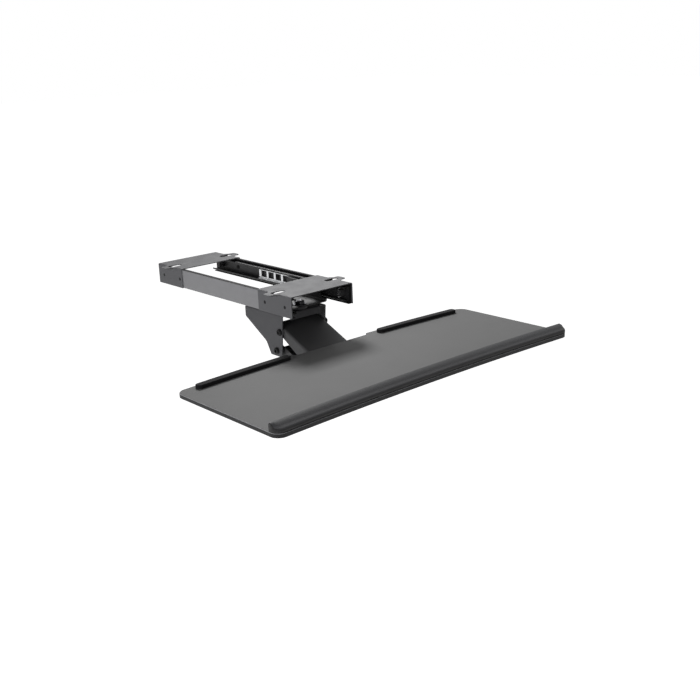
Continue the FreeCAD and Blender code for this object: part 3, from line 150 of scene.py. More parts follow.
def rail_steel():
    """A black coated channel whose outer face was rolled smooth and is paler; its flanges and inner faces are
    black, partly as painted shade inside the channel.
    """
    material, tree, coords = start("coated_rail_steel")
    across = add(tree, "ShaderNodeSeparateXYZ", None, {0: coords}).outputs["X"]
    reach = add(tree, "ShaderNodeMath", UNSIGNED, {0: across}).outputs[0]
    outer = add(tree, "ShaderNodeMapRange", None, {
        "Value": reach, "From Min": (RAIL_FACE - 0.8) * MM, "From Max": (RAIL_FACE - 0.2) * MM}).outputs[0]
    normal = add(tree, "ShaderNodeNewGeometry").outputs["Normal"]
    sideways = add(tree, "ShaderNodeSeparateXYZ", None, {0: normal}).outputs["X"]
    squarely = add(tree, "ShaderNodeMath", UNSIGNED, {0: sideways}).outputs[0]
    flat = add(tree, "ShaderNodeMapRange", None,
               {"Value": squarely, "From Min": 0.5, "From Max": 0.9}).outputs[0]
    share = add(tree, "ShaderNodeMath", {"operation": "MULTIPLY"}, {0: outer, 1: flat}).outputs[0]
    mottle = add(tree, "ShaderNodeTexNoise", None,
                 {"Vector": coords, "Scale": 1 / (30 * MM), "Detail": 3}).outputs["Fac"]
    drawn = add(tree, "ShaderNodeMapping", None, {"Vector": coords, "Scale": (1, 0.06, 1)}).outputs[0]
    grain = add(tree, "ShaderNodeTexNoise", None,
                {"Vector": drawn, "Scale": 1 / (1.2 * MM), "Detail": 2}).outputs["Fac"]
    # Painted shade: the near-black colour off the outer face also stands in for the shade inside the channel.
    black = add(tree, "ShaderNodeMix", COLOURS,
                {0: mottle, 6: linear("#0b0b0c"), 7: linear("#121213")}).outputs[2]
    pale = add(tree, "ShaderNodeMix", COLOURS,
               {0: mottle, 6: linear("#5a5a5c"), 7: linear("#656567")}).outputs[2]
    sheen = add(tree, "ShaderNodeMapRange", None,
                {"Value": grain, **NOISE_RANGE, "To Min": 0.36, "To Max": 0.44}).outputs[0]
    shader = add(tree, "ShaderNodeBsdfPrincipled", None, {
        "Base Color": add(tree, "ShaderNodeMix", COLOURS, {0: share, 6: black, 7: pale}).outputs[2],
        "Roughness": add(tree, "ShaderNodeMix", NUMBERS, {0: share, 2: 0.66, 3: sheen}).outputs[0],
        "IOR": add(tree, "ShaderNodeMix", NUMBERS, {0: share, 2: 1.2, 3: 1.5}).outputs[0],
        "Normal": add(tree, "ShaderNodeBump", None, {"Height": grain, "Distance": 0.01 * MM}).outputs[0],
    }).outputs[0]
    add(tree, "ShaderNodeOutputMaterial", None, {"Surface": shader})
    return material


def plated_steel(name, low, high, rough, spangle_mm):
    """Plated steel: bright metal whose zinc crystals vary a little in tone and gloss."""
    material, tree, coords = start(name)
    crystals = add(tree, "ShaderNodeTexVoronoi", None,
                   {"Vector": coords, "Scale": 1 / (spangle_mm * MM)}).outputs["Color"]
    tone = add(tree, "ShaderNodeSeparateColor", None, {0: crystals}).outputs[0]
    rub = add(tree, "ShaderNodeTexNoise", None,
              {"Vector": coords, "Scale": 1 / (0.6 * MM), "Detail": 3}).outputs["Fac"]
    gloss = add(tree, "ShaderNodeMapRange", None,
                {"Value": rub, **NOISE_RANGE, "To Min": rough - 0.06, "To Max": rough + 0.08}).outputs[0]
    colour = add(tree, "ShaderNodeMix", COLOURS, {0: tone, 6: linear(low), 7: linear(high)}).outputs[2]
    shader = add(tree, "ShaderNodeBsdfPrincipled", None, {
        "Base Color": colour,
        "Metallic": 1.0,
        "Roughness": gloss,
        "Normal": add(tree, "ShaderNodeBump", None, {"Height": rub, "Distance": 0.01 * MM}).outputs[0],
    }).outputs[0]
    add(tree, "ShaderNodeOutputMaterial", None, {"Surface": shader})
    return material


def moulded(name, low, high, rough, grain_mm, grain_depth, ior=1.5):
    """Moulded plastic or rubber with the fine spark grain of its mould."""
    material, tree, coords = start(name)
    cloud = add(tree, "ShaderNodeTexNoise", None,
                {"Vector": coords, "Scale": 1 / (12 * MM), "Detail": 2}).outputs["Fac"]
    grain = add(tree, "ShaderNodeTexNoise", None,
                {"Vector": coords, "Scale": 1 / (grain_mm * MM), "Detail": 1}).outputs["Fac"]
    colour = add(tree, "ShaderNodeMix", COLOURS, {0: cloud, 6: linear(low), 7: linear(high)}).outputs[2]
    gloss = add(tree, "ShaderNodeMapRange", None,
                {"Value": grain, **NOISE_RANGE, "To Min": rough - 0.06, "To Max": rough + 0.06}).outputs[0]
    relief = add(tree, "ShaderNodeBump", None, {"Height": grain, "Distance": grain_depth * MM}).outputs[0]
    shader = add(tree, "ShaderNodeBsdfPrincipled", None,
                 {"Base Color": colour, "Roughness": gloss, "IOR": ior, "Normal": relief}).outputs[0]
    add(tree, "ShaderNodeOutputMaterial", None, {"Surface": shader})
    return material


def laminate():
    """Dark melamine laminate, finely grained and matt; its sides are near black, partly a black edge band and
    partly painted shade, and its rounded rims are painted paler as painted highlights.
    """
    material, tree, coords = start("charcoal_laminate")
    cloud = add(tree, "ShaderNodeTexNoise", None,
                {"Vector": coords, "Scale": 1 / (60 * MM), "Detail": 4}).outputs["Fac"]
    speck = add(tree, "ShaderNodeTexNoise", None,
                {"Vector": coords, "Scale": 1 / (1.1 * MM), "Detail": 3}).outputs["Fac"]
    pores = add(tree, "ShaderNodeTexNoise", None,
                {"Vector": coords, "Scale": 1 / (0.7 * MM), "Detail": 2}).outputs["Fac"]
    base = add(tree, "ShaderNodeMix", COLOURS,
               {0: cloud, 6: linear("#484848"), 7: linear("#505050")}).outputs[2]
    shade = add(tree, "ShaderNodeMix", COLOURS,
                {0: speck, 6: linear("#9a9a9a"), 7: linear("#ffffff")}).outputs[2]
    top = add(tree, "ShaderNodeMix", DARKEN, {0: 0.35, 6: base, 7: shade}).outputs[2]
    normal = add(tree, "ShaderNodeNewGeometry").outputs["Normal"]
    upward = add(tree, "ShaderNodeSeparateXYZ", None, {0: normal}).outputs["Z"]
    level = add(tree, "ShaderNodeMath", UNSIGNED, {0: upward}).outputs[0]
    flat = add(tree, "ShaderNodeMapRange", None,
               {"Value": level, "From Min": 0.75, "From Max": 0.97}).outputs[0]
    # Painted light on the edges: the rounded rims are painted pale as painted highlights, and the sides near
    # black, partly a black edge band and partly painted shade.
    painted_rim_highlight = add(tree, "ShaderNodeMapRange", None,
              {"Value": level, "From Min": 0.2, "From Max": 0.5}).outputs[0]
    edge_band_and_painted_light = add(tree, "ShaderNodeMix", COLOURS,
               {0: painted_rim_highlight, 6: linear("#0d0d0e"), 7: linear("#77777a")}).outputs[2]
    sheen = add(tree, "ShaderNodeMapRange", None,
                {"Value": speck, **NOISE_RANGE, "To Min": 0.60, "To Max": 0.68}).outputs[0]
    shader = add(tree, "ShaderNodeBsdfPrincipled", None, {
        "Base Color": add(tree, "ShaderNodeMix", COLOURS, {0: flat, 6: edge_band_and_painted_light, 7: top}).outputs[2],
        "Roughness": add(tree, "ShaderNodeMix", NUMBERS, {0: flat, 2: 0.50, 3: sheen}).outputs[0],
        "IOR": 1.3,
        "Normal": add(tree, "ShaderNodeBump", None, {"Height": pores, "Distance": 0.03 * MM}).outputs[0],
    }).outputs[0]
    add(tree, "ShaderNodeOutputMaterial", None, {"Surface": shader})
    return material


def leatherette():
    """Embossed vinyl over foam: pebbles 1.2 mm across; its top is painted paler than its sides as painted
    light from above, and its sides darker as painted shade.
    """
    material, tree, coords = start("black_leatherette")
    # The creases between the pebbles wander by up to 0.8 mm, with 0.7 waves per millimetre.
    waves = add(tree, "ShaderNodeTexNoise", None, {"Vector": coords, "Scale": 0.7 / MM}).outputs["Color"]
    bent = add(tree, "ShaderNodeVectorMath", {"operation": "MULTIPLY_ADD"},
               {0: waves, 1: (0.8 * MM,) * 3, 2: coords}).outputs[0]
    pebbles = add(tree, "ShaderNodeTexVoronoi", {"feature": "DISTANCE_TO_EDGE"},
                  {"Vector": bent, "Scale": 1 / (1.2 * MM)}).outputs["Distance"]
    crease = add(tree, "ShaderNodeMapRange", None, {"Value": pebbles, "From Max": 0.25}).outputs[0]
    cloud = add(tree, "ShaderNodeTexNoise", None,
                {"Vector": coords, "Scale": 1 / (30 * MM), "Detail": 3}).outputs["Fac"]
    normal = add(tree, "ShaderNodeNewGeometry").outputs["Normal"]
    upward = add(tree, "ShaderNodeSeparateXYZ", None, {0: normal}).outputs["Z"]
    # Painted light: faces that look up are painted paler and the sides darker, as light and shade.
    painted_top_light = add(tree, "ShaderNodeMapRange", None,
                 {"Value": upward, "From Min": 0.3, "From Max": 0.8}).outputs[0]
    side = add(tree, "ShaderNodeMix", COLOURS,
               {0: cloud, 6: linear("#080809"), 7: linear("#0e0e0f")}).outputs[2]
    top = add(tree, "ShaderNodeMix", COLOURS,
              {0: cloud, 6: linear("#38383a"), 7: linear("#424244")}).outputs[2]
    base = add(tree, "ShaderNodeMix", COLOURS, {0: painted_top_light, 6: side, 7: top}).outputs[2]
    # Painted shade: the creases between the pebbles are painted darker.
    shade = add(tree, "ShaderNodeMix", COLOURS,
                {0: crease, 6: linear("#b8b8b8"), 7: linear("#ffffff")}).outputs[2]
    gloss = add(tree, "ShaderNodeMapRange", None,
                {"Value": cloud, **NOISE_RANGE, "To Min": 0.48, "To Max": 0.56}).outputs[0]
    shader = add(tree, "ShaderNodeBsdfPrincipled", None, {
        "Base Color": add(tree, "ShaderNodeMix", DARKEN, {0: 1.0, 6: base, 7: shade}).outputs[2],
        "Roughness": gloss,
        "IOR": 1.34,
        "Normal": add(tree, "ShaderNodeBump", None, {"Height": crease, "Distance": 0.04 * MM}).outputs[0],
    }).outputs[0]
    add(tree, "ShaderNodeOutputMaterial", None, {"Surface": shader})
    return material


# The black coats have a lower index than is typical, because the photograph shows no pale haze on them.
# Powder coat on pressed steel: satin, with an orange-peel grain of about 0.8 mm.
POWDER = coated_steel("powder_coated_steel", "#424244", "#4a4a4c", 0.66, 0.8, 0.035, 1.33)
# The brackets have a deeper black powder coat than the mount plates.
DEEP_POWDER = coated_steel("black_powder_coated_steel", "#323234", "#3a3a3c", 0.6, 0.8, 0.03, 1.34)
# The arm's cover and the carriage have a finer coat, the blackest of them, which partly stands in for the
# shade of the mount frame above them as painted shade.
ARM_COAT = coated_steel("satin_black_arm_coat_and_painted_shade", "#252526", "#2d2d2e", 0.52, 0.7, 0.03, 1.36)
RAIL = rail_steel()
# Black zinc on the slide members: smooth, with a faint sheen from the rolled strip.
BLACK_ZINC = coated_steel("black_zinc_slide_steel", "#121213", "#1a1a1b", 0.46, 2.0, 0.008, 1.35)
# An inner member cut to length after plating: the photograph shows bare steel at the end of the right one.
# Painted highlight: the near-white ends are bare steel and a painted highlight as well.
CUT_ZINC_WITH_PAINTED_HIGHLIGHT = coated_steel("black_zinc_with_cut_ends_and_painted_highlight", "#121213", "#1a1a1b", 0.46, 2.0, 0.008, 1.35, "#dcdcde")
# Bright zinc plate on the ball cages, which the photograph shows nearly white.
BRIGHT_ZINC = plated_steel("bright_zinc_plate", "#c9cacc", "#e2e3e4", 0.30, 2.2)
# Zinc-plated washers, spacers and screws, duller than the cages.
DULL_ZINC = plated_steel("zinc_plated_screw_steel", "#8f9092", "#a6a7a9", 0.38, 1.4)
# Black chromate over zinc on the swivel's hardware and the sleeves: a dark metal with a soft sheen.
BLACK_CHROMATE = plated_steel("black_chromate_hardware", "#39393c", "#48484b", 0.44, 1.4)
# Hardened and polished bearing balls.
BALL = plated_steel("polished_bearing_steel", "#d6d7d9", "#dfe0e1", 0.14, 5.0)
# Black oxide on bolts and rivets: a thin, nearly black skin, matt with a faint oily sheen.
OXIDE = coated_steel("black_oxide_bolt_steel", "#0b0b0c", "#111112", 0.46, 1.2, 0.012, 1.22)
# Oiled spring wire, drawn smooth.
SPRING = plated_steel("oiled_spring_wire", "#6d6e72", "#7d7e82", 0.30, 1.0)
# Turned brass insert in the knob.
BRASS = plated_steel("turned_brass", "#c8a35c", "#d6b36d", 0.28, 0.9)
# Moulded nylon of the knob, bushes and washers.
NYLON = moulded("moulded_black_nylon", "#262628", "#2d2d2f", 0.48, 0.5, 0.02)
# Rubber stops and bumpers, matt and slightly dusty.
RUBBER = moulded("black_stop_rubber", "#242425", "#2e2e2f", 0.78, 0.9, 0.03)
# The strips that hold the keyboard: soft foamed rubber, whose open skin scatters nearly all its gloss.
STRIP = moulded("foamed_rubber_strip", "#111112", "#171718", 0.80, 0.6, 0.025, 1.2)
BOARD = laminate()
LEATHER = leatherette()

FINISHES = {
    POWDER: ("front_mount_plate", "rear_mount_plate"),
    DEEP_POWDER: ("arm_bracket", "head_bracket", "tilt_plate"),
    ARM_COAT: ("carriage_plate", "upper_arm", "lower_link"),
    RAIL: ("left_rail", "right_rail", "slide_rivets"),
    BLACK_ZINC: ("left_slide_outer", "right_slide_outer", "left_slide_inner"),
    CUT_ZINC_WITH_PAINTED_HIGHLIGHT: ("right_slide_inner",),
    BRIGHT_ZINC: ("left_ball_cage", "right_ball_cage"),
    BALL: ("left_slide_balls", "right_slide_balls"),
    OXIDE: ("frame_rivets", "rear_upper_bolt", "rear_lower_bolt", "front_upper_bolt",
            "front_lower_bolt", "clamp_bolt", "bracket_nuts", "head_nuts"),
    DULL_ZINC: ("carriage_screws", "tray_screws", "clamp_washer"),
    BLACK_CHROMATE: ("slide_spacers", "swivel_bolt", "swivel_nut", "swivel_top_washer",
                     "swivel_bottom_washer", "rear_link_spacers", "front_link_spacers"),
    SPRING: ("lift_spring",),
    BRASS: ("knob_insert",),
    NYLON: ("arm_bushes", "link_bushes", "swivel_thrust_washer", "spring_spool", "tilt_knob"),
    RUBBER: ("front_slide_stops", "rear_slide_stops", "carriage_bumpers"),
    BOARD: ("tray_board",),
    LEATHER: ("palm_rest",),
    STRIP: ("left_stop_strip", "right_stop_strip"),
}


def give(thing, material):
    thing.data.materials.clear()
    thing.data.materials.append(material)
    return thing


for finish_material, names in FINISHES.items():
    for node_name in names:
        give(frame["nodes"][node_name], finish_material)


# Making pieces

def settle(thing, body, replaced=()):
    """Smooth the faces but not the edges, and hand the piece to the body that carries it."""
    thing.data.shade_smooth()
    thing.data.set_sharp_from_angle(angle=math.radians(38))
    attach(thing, body)
    if replaced:
        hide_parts(*replaced)
    return thing


def mesh_piece(name, points, faces, material):
    """A mesh object in one material, from points in metres and faces that index them."""
    mesh = bpy.data.meshes.new(name)
    mesh.from_pydata([tuple(p) for p in points], [], faces)
    mesh.validate()
    mesh.materials.append(material)
    thing = bpy.data.objects.new(name, mesh)
    bpy.context.scene.collection.objects.link(thing)
    return thing


def circle(radius):
    return lambda angle: radius


def hexagon(flats):
    """Radius of a hexagon by angle; its corners lie on multiples of 60 degrees."""
    def radius(angle):
        off = (angle + math.pi / 6) % (math.pi / 3) - math.pi / 6
        return flats / 2 / math.cos(math.pi / 6 - abs(off))
    return radius


def cross(reach, width):
    """Radius of a cross recess by angle."""
    def radius(angle):
        off = abs((angle + math.pi / 4) % (math.pi / 2) - math.pi / 4)
        arm = width / 2 / max(math.sin(off), 1e-4)
        hollow = width * 0.95 + reach * 0.35 * math.cos(4 * off)
        return min(reach, arm, hollow)
    return radius


def turned(rings, steps=48, hollow=False):
    """A closed skin through rings of (height, radius by angle), in millimetres on Z.

    hollow joins the last ring to the first.
    """
    points, faces = [], []
    for height, radius in rings:
        for step in range(steps):
            angle = 2 * math.pi * step / steps
            reach = radius(angle)
            points.append(Vector((reach * math.cos(angle), reach * math.sin(angle), height)) * MM)
    count = len(rings)
    for ring in range(count if hollow else count - 1):
        low, high = ring * steps, (ring + 1) % count * steps
        for step in range(steps):
            after = (step + 1) % steps
            faces.append((low + step, low + after, high + after, high + step))
    if not hollow:
        for ring, height in ((0, rings[0][0]), (count - 1, rings[-1][0])):
            middle = len(points)
            points.append(Vector((0, 0, height * MM)))
            for step in range(steps):
                after = (step + 1) % steps
                edge = (ring * steps + step, ring * steps + after)
                faces.append((middle, edge[1], edge[0]) if ring == 0 else (middle, edge[0], edge[1]))
    return points, faces


UPWARD = Matrix.Identity(4)
DOWNWARD = Matrix.Rotation(math.pi, 4, "X")
LEFTWARD = Matrix.Rotation(-math.pi / 2, 4, "Y")
RIGHTWARD = Matrix.Rotation(math.pi / 2, 4, "Y")


# Geometry node trees

def open_tree(name, sockets):
    """A geometry tree with named inputs and a material input."""
    tree = bpy.data.node_groups.new(name, "GeometryNodeTree")
    inputs = (("Geometry", "NodeSocketGeometry"), *sockets, ("Finish", "NodeSocketMaterial"))
    for socket_name, kind in inputs:
        tree.interface.new_socket(socket_name, in_out="INPUT", socket_type=kind)
    tree.interface.new_socket("Geometry", in_out="OUTPUT", socket_type="NodeSocketGeometry")
    return tree, add(tree, "NodeGroupInput").outputs


def close_tree(tree, geometry, material):
    """Make the instances real, give them their material and end the tree."""
    real = add(tree, "GeometryNodeRealizeInstances", None, {"Geometry": geometry}).outputs[0]
    painted = add(tree, "GeometryNodeSetMaterial", None, {"Geometry": real, "Material": material}).outputs[0]
    add(tree, "NodeGroupOutput", None, {0: painted})


def coil_tree():
    """A close-wound spring along X: a spiral with a round wire swept along it."""
    tree, given = open_tree("wound_spring", (
        ("Coil Radius", "NodeSocketFloat"), ("Wire Radius", "NodeSocketFloat"), ("Length", "NodeSocketFloat"),
        ("Turns", "NodeSocketFloat"), ("Middle", "NodeSocketVector")))
    spiral = add(tree, "GeometryNodeCurveSpiral", None, {
        "Resolution": 28, "Rotations": given["Turns"], "Start Radius": given["Coil Radius"],
        "End Radius": given["Coil Radius"], "Height": given["Length"]}).outputs[0]
    wire = add(tree, "GeometryNodeCurvePrimitiveCircle", None,
               {"Resolution": 8, "Radius": given["Wire Radius"]}).outputs[0]
    swept = add(tree, "GeometryNodeCurveToMesh", None,
                {"Curve": spiral, "Profile Curve": wire, "Fill Caps": True}).outputs[0]
    half = add(tree, "ShaderNodeMath", {"operation": "MULTIPLY"}, {0: given["Length"], 1: -0.5}).outputs[0]
    down = add(tree, "ShaderNodeCombineXYZ", None, {"Z": half}).outputs[0]
    centred = add(tree, "GeometryNodeTransform", None, {"Geometry": swept, "Translation": down}).outputs[0]
    placed = add(tree, "GeometryNodeTransform", None, {
        "Geometry": centred, "Translation": given["Middle"], "Rotation": (0.0, math.pi / 2, 0.0)}).outputs[0]
    close_tree(tree, placed, given["Finish"])
    return tree


def fastener_tree():
    """One fastener on every point that comes in, all turned the same way."""
    tree, given = open_tree("set_fasteners", (
        ("Fastener", "NodeSocketObject"), ("Turn", "NodeSocketRotation"), ("Size", "NodeSocketFloat")))
    pattern = add(tree, "GeometryNodeObjectInfo", None, {"Object": given["Fastener"]}).outputs["Geometry"]
    spots = add(tree, "GeometryNodeMeshToPoints", None, {"Mesh": given["Geometry"]}).outputs[0]
    scale = add(tree, "ShaderNodeCombineXYZ", None,
                {"X": given["Size"], "Y": given["Size"], "Z": given["Size"]}).outputs[0]
    placed = add(tree, "GeometryNodeInstanceOnPoints", None, {
        "Points": spots, "Instance": pattern, "Rotation": given["Turn"], "Scale": scale}).outputs[0]
    close_tree(tree, placed, given["Finish"])
    return tree


COIL = coil_tree()
FASTENERS = fastener_tree()


def grown(name, tree, base_points, values):
    """Run a geometry tree on some points and keep its result as a plain mesh at the origin."""
    mesh = bpy.data.meshes.new(name + "_spots")
    mesh.from_pydata([tuple(Vector(p) * MM) for p in base_points], [], [])
    maker = bpy.data.objects.new(name + "_maker", mesh)
    bpy.context.scene.collection.objects.link(maker)
    modifier = maker.modifiers.new("grow", "NODES")
    modifier.node_group = tree
    for item in tree.interface.items_tree:
        if item.in_out == "INPUT" and item.name in values:
            modifier[item.identifier] = values[item.name]
    bpy.context.view_layer.update()
    evaluated = maker.evaluated_get(bpy.context.evaluated_depsgraph_get())
    result = bpy.data.meshes.new_from_object(evaluated)
    maker.modifiers.clear()
    bpy.data.objects.remove(maker)
    result.name = name
    thing = bpy.data.objects.new(name, result)
    bpy.context.scene.collection.objects.link(thing)
    return thing


def fasteners(name, skin, turn, spots, material, body, replaced=()):
    """Fasteners of one kind on one body; skin is the points and faces of one of them, standing on Z."""
    pattern = mesh_piece(name + "_pattern", skin[0], skin[1], material)
    bpy.context.view_layer.update()
    thing = grown(name, FASTENERS, spots, {"Fastener": pattern, "Turn": turn.to_euler(), "Size": 1.0,
                                           "Finish": material})
    bpy.data.objects.remove(pattern)
    return settle(thing, body, replaced)


# Fasteners

def thread(low, high, radius, pitch=1.25):
    """Rings of a thread, drawn as ridges a pitch apart."""
    count = max(1, round((high - low) / pitch))
    step = (high - low) / count
    rings = []
    for turn in range(count):
        rings += [(low + turn * step, circle(radius - 0.55)), (low + (turn + 0.5) * step, circle(radius))]
    return rings + [(high, circle(radius - 0.7))]


def button_head(radius, rise, socket, length, shank, threaded):
    """A button-head bolt with a hexagon socket; its head's seat is at height 0 and its shank runs down."""
    edge, crown = 1.1, math.radians(78)
    rings = [(-length, circle(shank - 0.9))]
    rings += [(-length + height, reach) for height, reach in thread(0.5, threaded, shank)]
    rings += [(-length + threaded + 0.6, circle(shank)), (0.0, circle(shank)), (0.0, circle(radius - 0.15)),
              (0.25, circle(radius)), (edge, circle(radius))]
    for step in range(1, 7):
        angle = crown * step / 6
        rings.append((edge + (rise - edge) * math.sin(angle) / math.sin(crown),
                      circle(socket * 0.68 + (radius - socket * 0.68) * math.cos(angle) ** 0.8)))
    rings += [(rise, circle(socket * 0.66)), (rise - 0.15, hexagon(socket)), (rise - 2.2, hexagon(socket)),
              (rise - 2.8, circle(socket * 0.2))]
    return turned(rings)


def lock_nut(flats, rise, bore):
    """A hexagon nut with chamfered corners and the collar of its locking ring."""
    corner = flats / 2 / math.cos(math.pi / 6)
    body = rise - 1.8

    def chamfered(angle):
        return min(hexagon(flats)(angle), corner - 0.55)

    rings = [(0.0, circle(flats / 2 - 0.2)), (0.5, chamfered), (0.9, hexagon(flats)),
             (body - 0.8, hexagon(flats)), (body - 0.3, chamfered), (body, circle(flats / 2 - 0.3)),
             (body + 0.1, circle(flats / 2 - 0.9)), (rise - 0.5, circle(flats / 2 - 1.0)),
             (rise, circle(flats / 2 - 1.8)), (rise, circle(bore + 0.1)), (rise - 0.6, circle(bore)),
             (0.0, circle(bore))]
    return turned(rings, hollow=True)


def pan_screw(head, rise, shank, length):
    """A pan-head screw with a cross recess; its seat is at height 0 and its shank runs down."""
    edge, crown = rise * 0.45, math.radians(70)
    rings = [(-length, circle(shank * 0.35))]
    rings += [(-length + height, reach) for height, reach in thread(0.8, length - 0.6, shank, 1.3)]
    rings += [(0.0, circle(shank)), (0.0, circle(head - 0.2)), (0.25, circle(head)), (edge, circle(head))]
    for step in range(1, 6):
        angle = crown * step / 5
        rings.append((edge + (rise - edge) * math.sin(angle) / math.sin(crown),
                      circle(head * (0.62 + 0.38 * math.cos(angle)))))
    recess = cross(head * 0.52, head * 0.26)
    rings += [(rise, circle(head * 0.6)), (rise - 0.02, recess), (rise - 1.3, cross(head * 0.3, head * 0.2)),
              (rise - 1.5, circle(0.15))]
    return turned(rings, 96)


def rivet(shank, length, head, rise):
    """A set rivet: a low domed head with the dimple that its mandrel leaves."""
    rings = [(-length, circle(shank - 0.2)), (0.0, circle(shank)), (0.0, circle(head - 0.1)),
             (rise * 0.35, circle(head)), (rise * 0.8, circle(head * 0.82)), (rise, circle(head * 0.55)),
             (rise, circle(head * 0.34)), (rise * 0.3, circle(head * 0.28)), (rise * 0.3, circle(0.1))]
    return turned(rings, 36)


def pivots(spots, x):
    """Places at one x, for pivots given as (y, z)."""
    return [(x, y, z) for y, z in spots]


# The radius of the pivots' 8 mm bolts, and how far they stand out past the face that their nuts seat on.
BOLT_SHANK = 4.0
NUT_ROOM = 8.5


def pivot_bolt(length, threaded=12):
    return button_head(radius=6.5, rise=4.4, socket=5.0, length=length, shank=BOLT_SHANK, threaded=threaded)


pivot_nut = lock_nut(flats=13, rise=7, bore=BOLT_SHANK)
bracket_bolt = pivot_bolt(2 * BRACKET_FACE + NUT_ROOM)
ear_bolt = pivot_bolt(2 * EAR_FACE + NUT_ROOM)
clamp_bolt = pivot_bolt(EAR_FACE + place("clamp_bolt", X, HIGHEST), threaded=20)
REAR_PIVOTS = (UPPER_PIVOT, LOWER_PIVOT)
fasteners("rear_pivot_bolts", bracket_bolt, LEFTWARD, pivots(REAR_PIVOTS, -BRACKET_FACE), OXIDE,
          "arm_bracket", ("rear_upper_bolt", "rear_lower_bolt"))
fasteners("rear_pivot_nuts", pivot_nut, RIGHTWARD, pivots(REAR_PIVOTS, BRACKET_FACE), OXIDE,
          "arm_bracket", ("bracket_nuts",))
fasteners("front_lower_pivot_bolt", bracket_bolt, LEFTWARD, pivots((FOOT_PIVOT,), -BRACKET_FACE), OXIDE,
          "head", ("front_lower_bolt",))
fasteners("front_upper_pivot_bolt", ear_bolt, LEFTWARD, pivots((TILT_AXIS,), -EAR_FACE), OXIDE,
          "head", ("front_upper_bolt",))
fasteners("front_upper_pivot_nut", pivot_nut, RIGHTWARD, pivots((TILT_AXIS,), EAR_FACE), OXIDE,
          "head", ("head_nuts",))
fasteners("front_lower_pivot_nut", pivot_nut, RIGHTWARD, pivots((FOOT_PIVOT,), BRACKET_FACE), OXIDE,
          "head", ("head_nuts",))
fasteners("clamp_bolt_dressed", clamp_bolt, LEFTWARD, pivots((CLAMP,), -EAR_FACE), OXIDE,
          "head", ("clamp_bolt",))

# The carriage's screws stand on the inside of its walls.
CARRIAGE_WALL = 2.0
CARRIAGE_SCREW_STEP = 30
carriage_screw = pan_screw(head=4.0, rise=2.8, shank=2.0, length=8.4)
carriage_screw_x = place("carriage_plate", X, HIGHEST) - CARRIAGE_WALL
carriage_screw_y = place("carriage_screws", Y, MIDDLE)
slide_z = place("left_slide_inner", Z, MIDDLE)
for side, turn, name in ((-1, RIGHTWARD, "left_carriage_screws"), (1, LEFTWARD, "right_carriage_screws")):
    spots = [(side * carriage_screw_x, carriage_screw_y + step * CARRIAGE_SCREW_STEP, slide_z)
             for step in (1, 0, -1)]
    fasteners(name, carriage_screw, turn, spots, DULL_ZINC, "carriage", ("carriage_screws",))

# The tray's screws stand under its plate, in two rows of three.
TRAY_SCREW_RISE = 2.6
TRAY_SCREW_X = 65
TRAY_SCREW_STEP = 56
board_screw = pan_screw(head=4.5, rise=TRAY_SCREW_RISE, shank=2.2, length=7.8)
board_screw_seat = place("tray_screws", Z, LOWEST) + TRAY_SCREW_RISE
board_screw_y = place("tray_screws", Y, MIDDLE)
spots = [(x, board_screw_y + step * TRAY_SCREW_STEP, board_screw_seat)
         for x in (-TRAY_SCREW_X, TRAY_SCREW_X) for step in (-1, 0, 1)]
fasteners("board_screws", board_screw, DOWNWARD, spots, DULL_ZINC, "tray", ("tray_screws",))

# The rivets stand each side of the middle of each mount plate's flange.
FLANGE_MIDDLE = 169.5
RIVET_STEP = 29
RIVET_RISE = 0.5
low_rivet = rivet(shank=2.4, length=3.1, head=3.2, rise=RIVET_RISE)
flange_face = place("frame_rivets", X, HIGHEST) - RIVET_RISE
rivet_z = place("frame_rivets", Z, MIDDLE)
for side, turn, name in ((-1, LEFTWARD, "left_frame_rivets"), (1, RIGHTWARD, "right_frame_rivets")):
    spots = [(side * flange_face, middle + step, rivet_z)
             for middle in (-FLANGE_MIDDLE, FLANGE_MIDDLE) for step in (-RIVET_STEP, RIVET_STEP)]
    fasteners(name, low_rivet, turn, spots, OXIDE, "mount_frame", ("frame_rivets",))

# The swivel's bolt is held from above and its nut from below, against the outer washers.
SWIVEL_FLATS = 17
SWIVEL_SHANK = 5.0
shank_rings = [(-21.1, circle(3.9))]
shank_rings += [(-20.7 + height, reach) for height, reach in thread(0, 11, SWIVEL_SHANK, 1.5)]
shank_rings += [(0.0, circle(SWIVEL_SHANK))]
head_rings = [(0.0, circle(8.2)), (0.35, hexagon(SWIVEL_FLATS)), (5.2, hexagon(SWIVEL_FLATS)),
              (5.9, lambda angle: min(hexagon(SWIVEL_FLATS)(angle), 9.0)), (6.4, circle(7.8)),
              (6.4, circle(5.0)), (6.1, circle(4.4)), (6.1, circle(0.1))]
swivel_bolt = turned(shank_rings + head_rings)
swivel_nut = lock_nut(flats=SWIVEL_FLATS, rise=8, bore=SWIVEL_SHANK)
head_seat = (0, SWIVEL_Y, place("swivel_top_washer", Z, HIGHEST))
nut_seat = (0, SWIVEL_Y, place("swivel_bottom_washer", Z, LOWEST))
fasteners("swivel_bolt_dressed", swivel_bolt, UPWARD, [head_seat], BLACK_CHROMATE,
          "carriage", ("swivel_bolt",))
fasteners("swivel_nut_dressed", swivel_nut, DOWNWARD, [nut_seat], BLACK_CHROMATE,
          "carriage", ("swivel_nut",))


# Lift spring and knob

spring = grown("lift_spring_coil", COIL, [(0, 0, 0)], {
    "Coil Radius": 5.7 * MM, "Wire Radius": 0.8 * MM, "Length": 43.0 * MM, "Turns": 25.0,
    "Middle": Vector((0, *UPPER_PIVOT)) * MM, "Finish": SPRING})
settle(spring, "arm_bracket", ("lift_spring",))


def lobes(radius, depth):
    """Radius of the knob by angle: six full lobes with hollows between them."""
    return lambda angle: radius - depth * (0.5 + 0.5 * math.cos(6 * angle)) ** 1.6


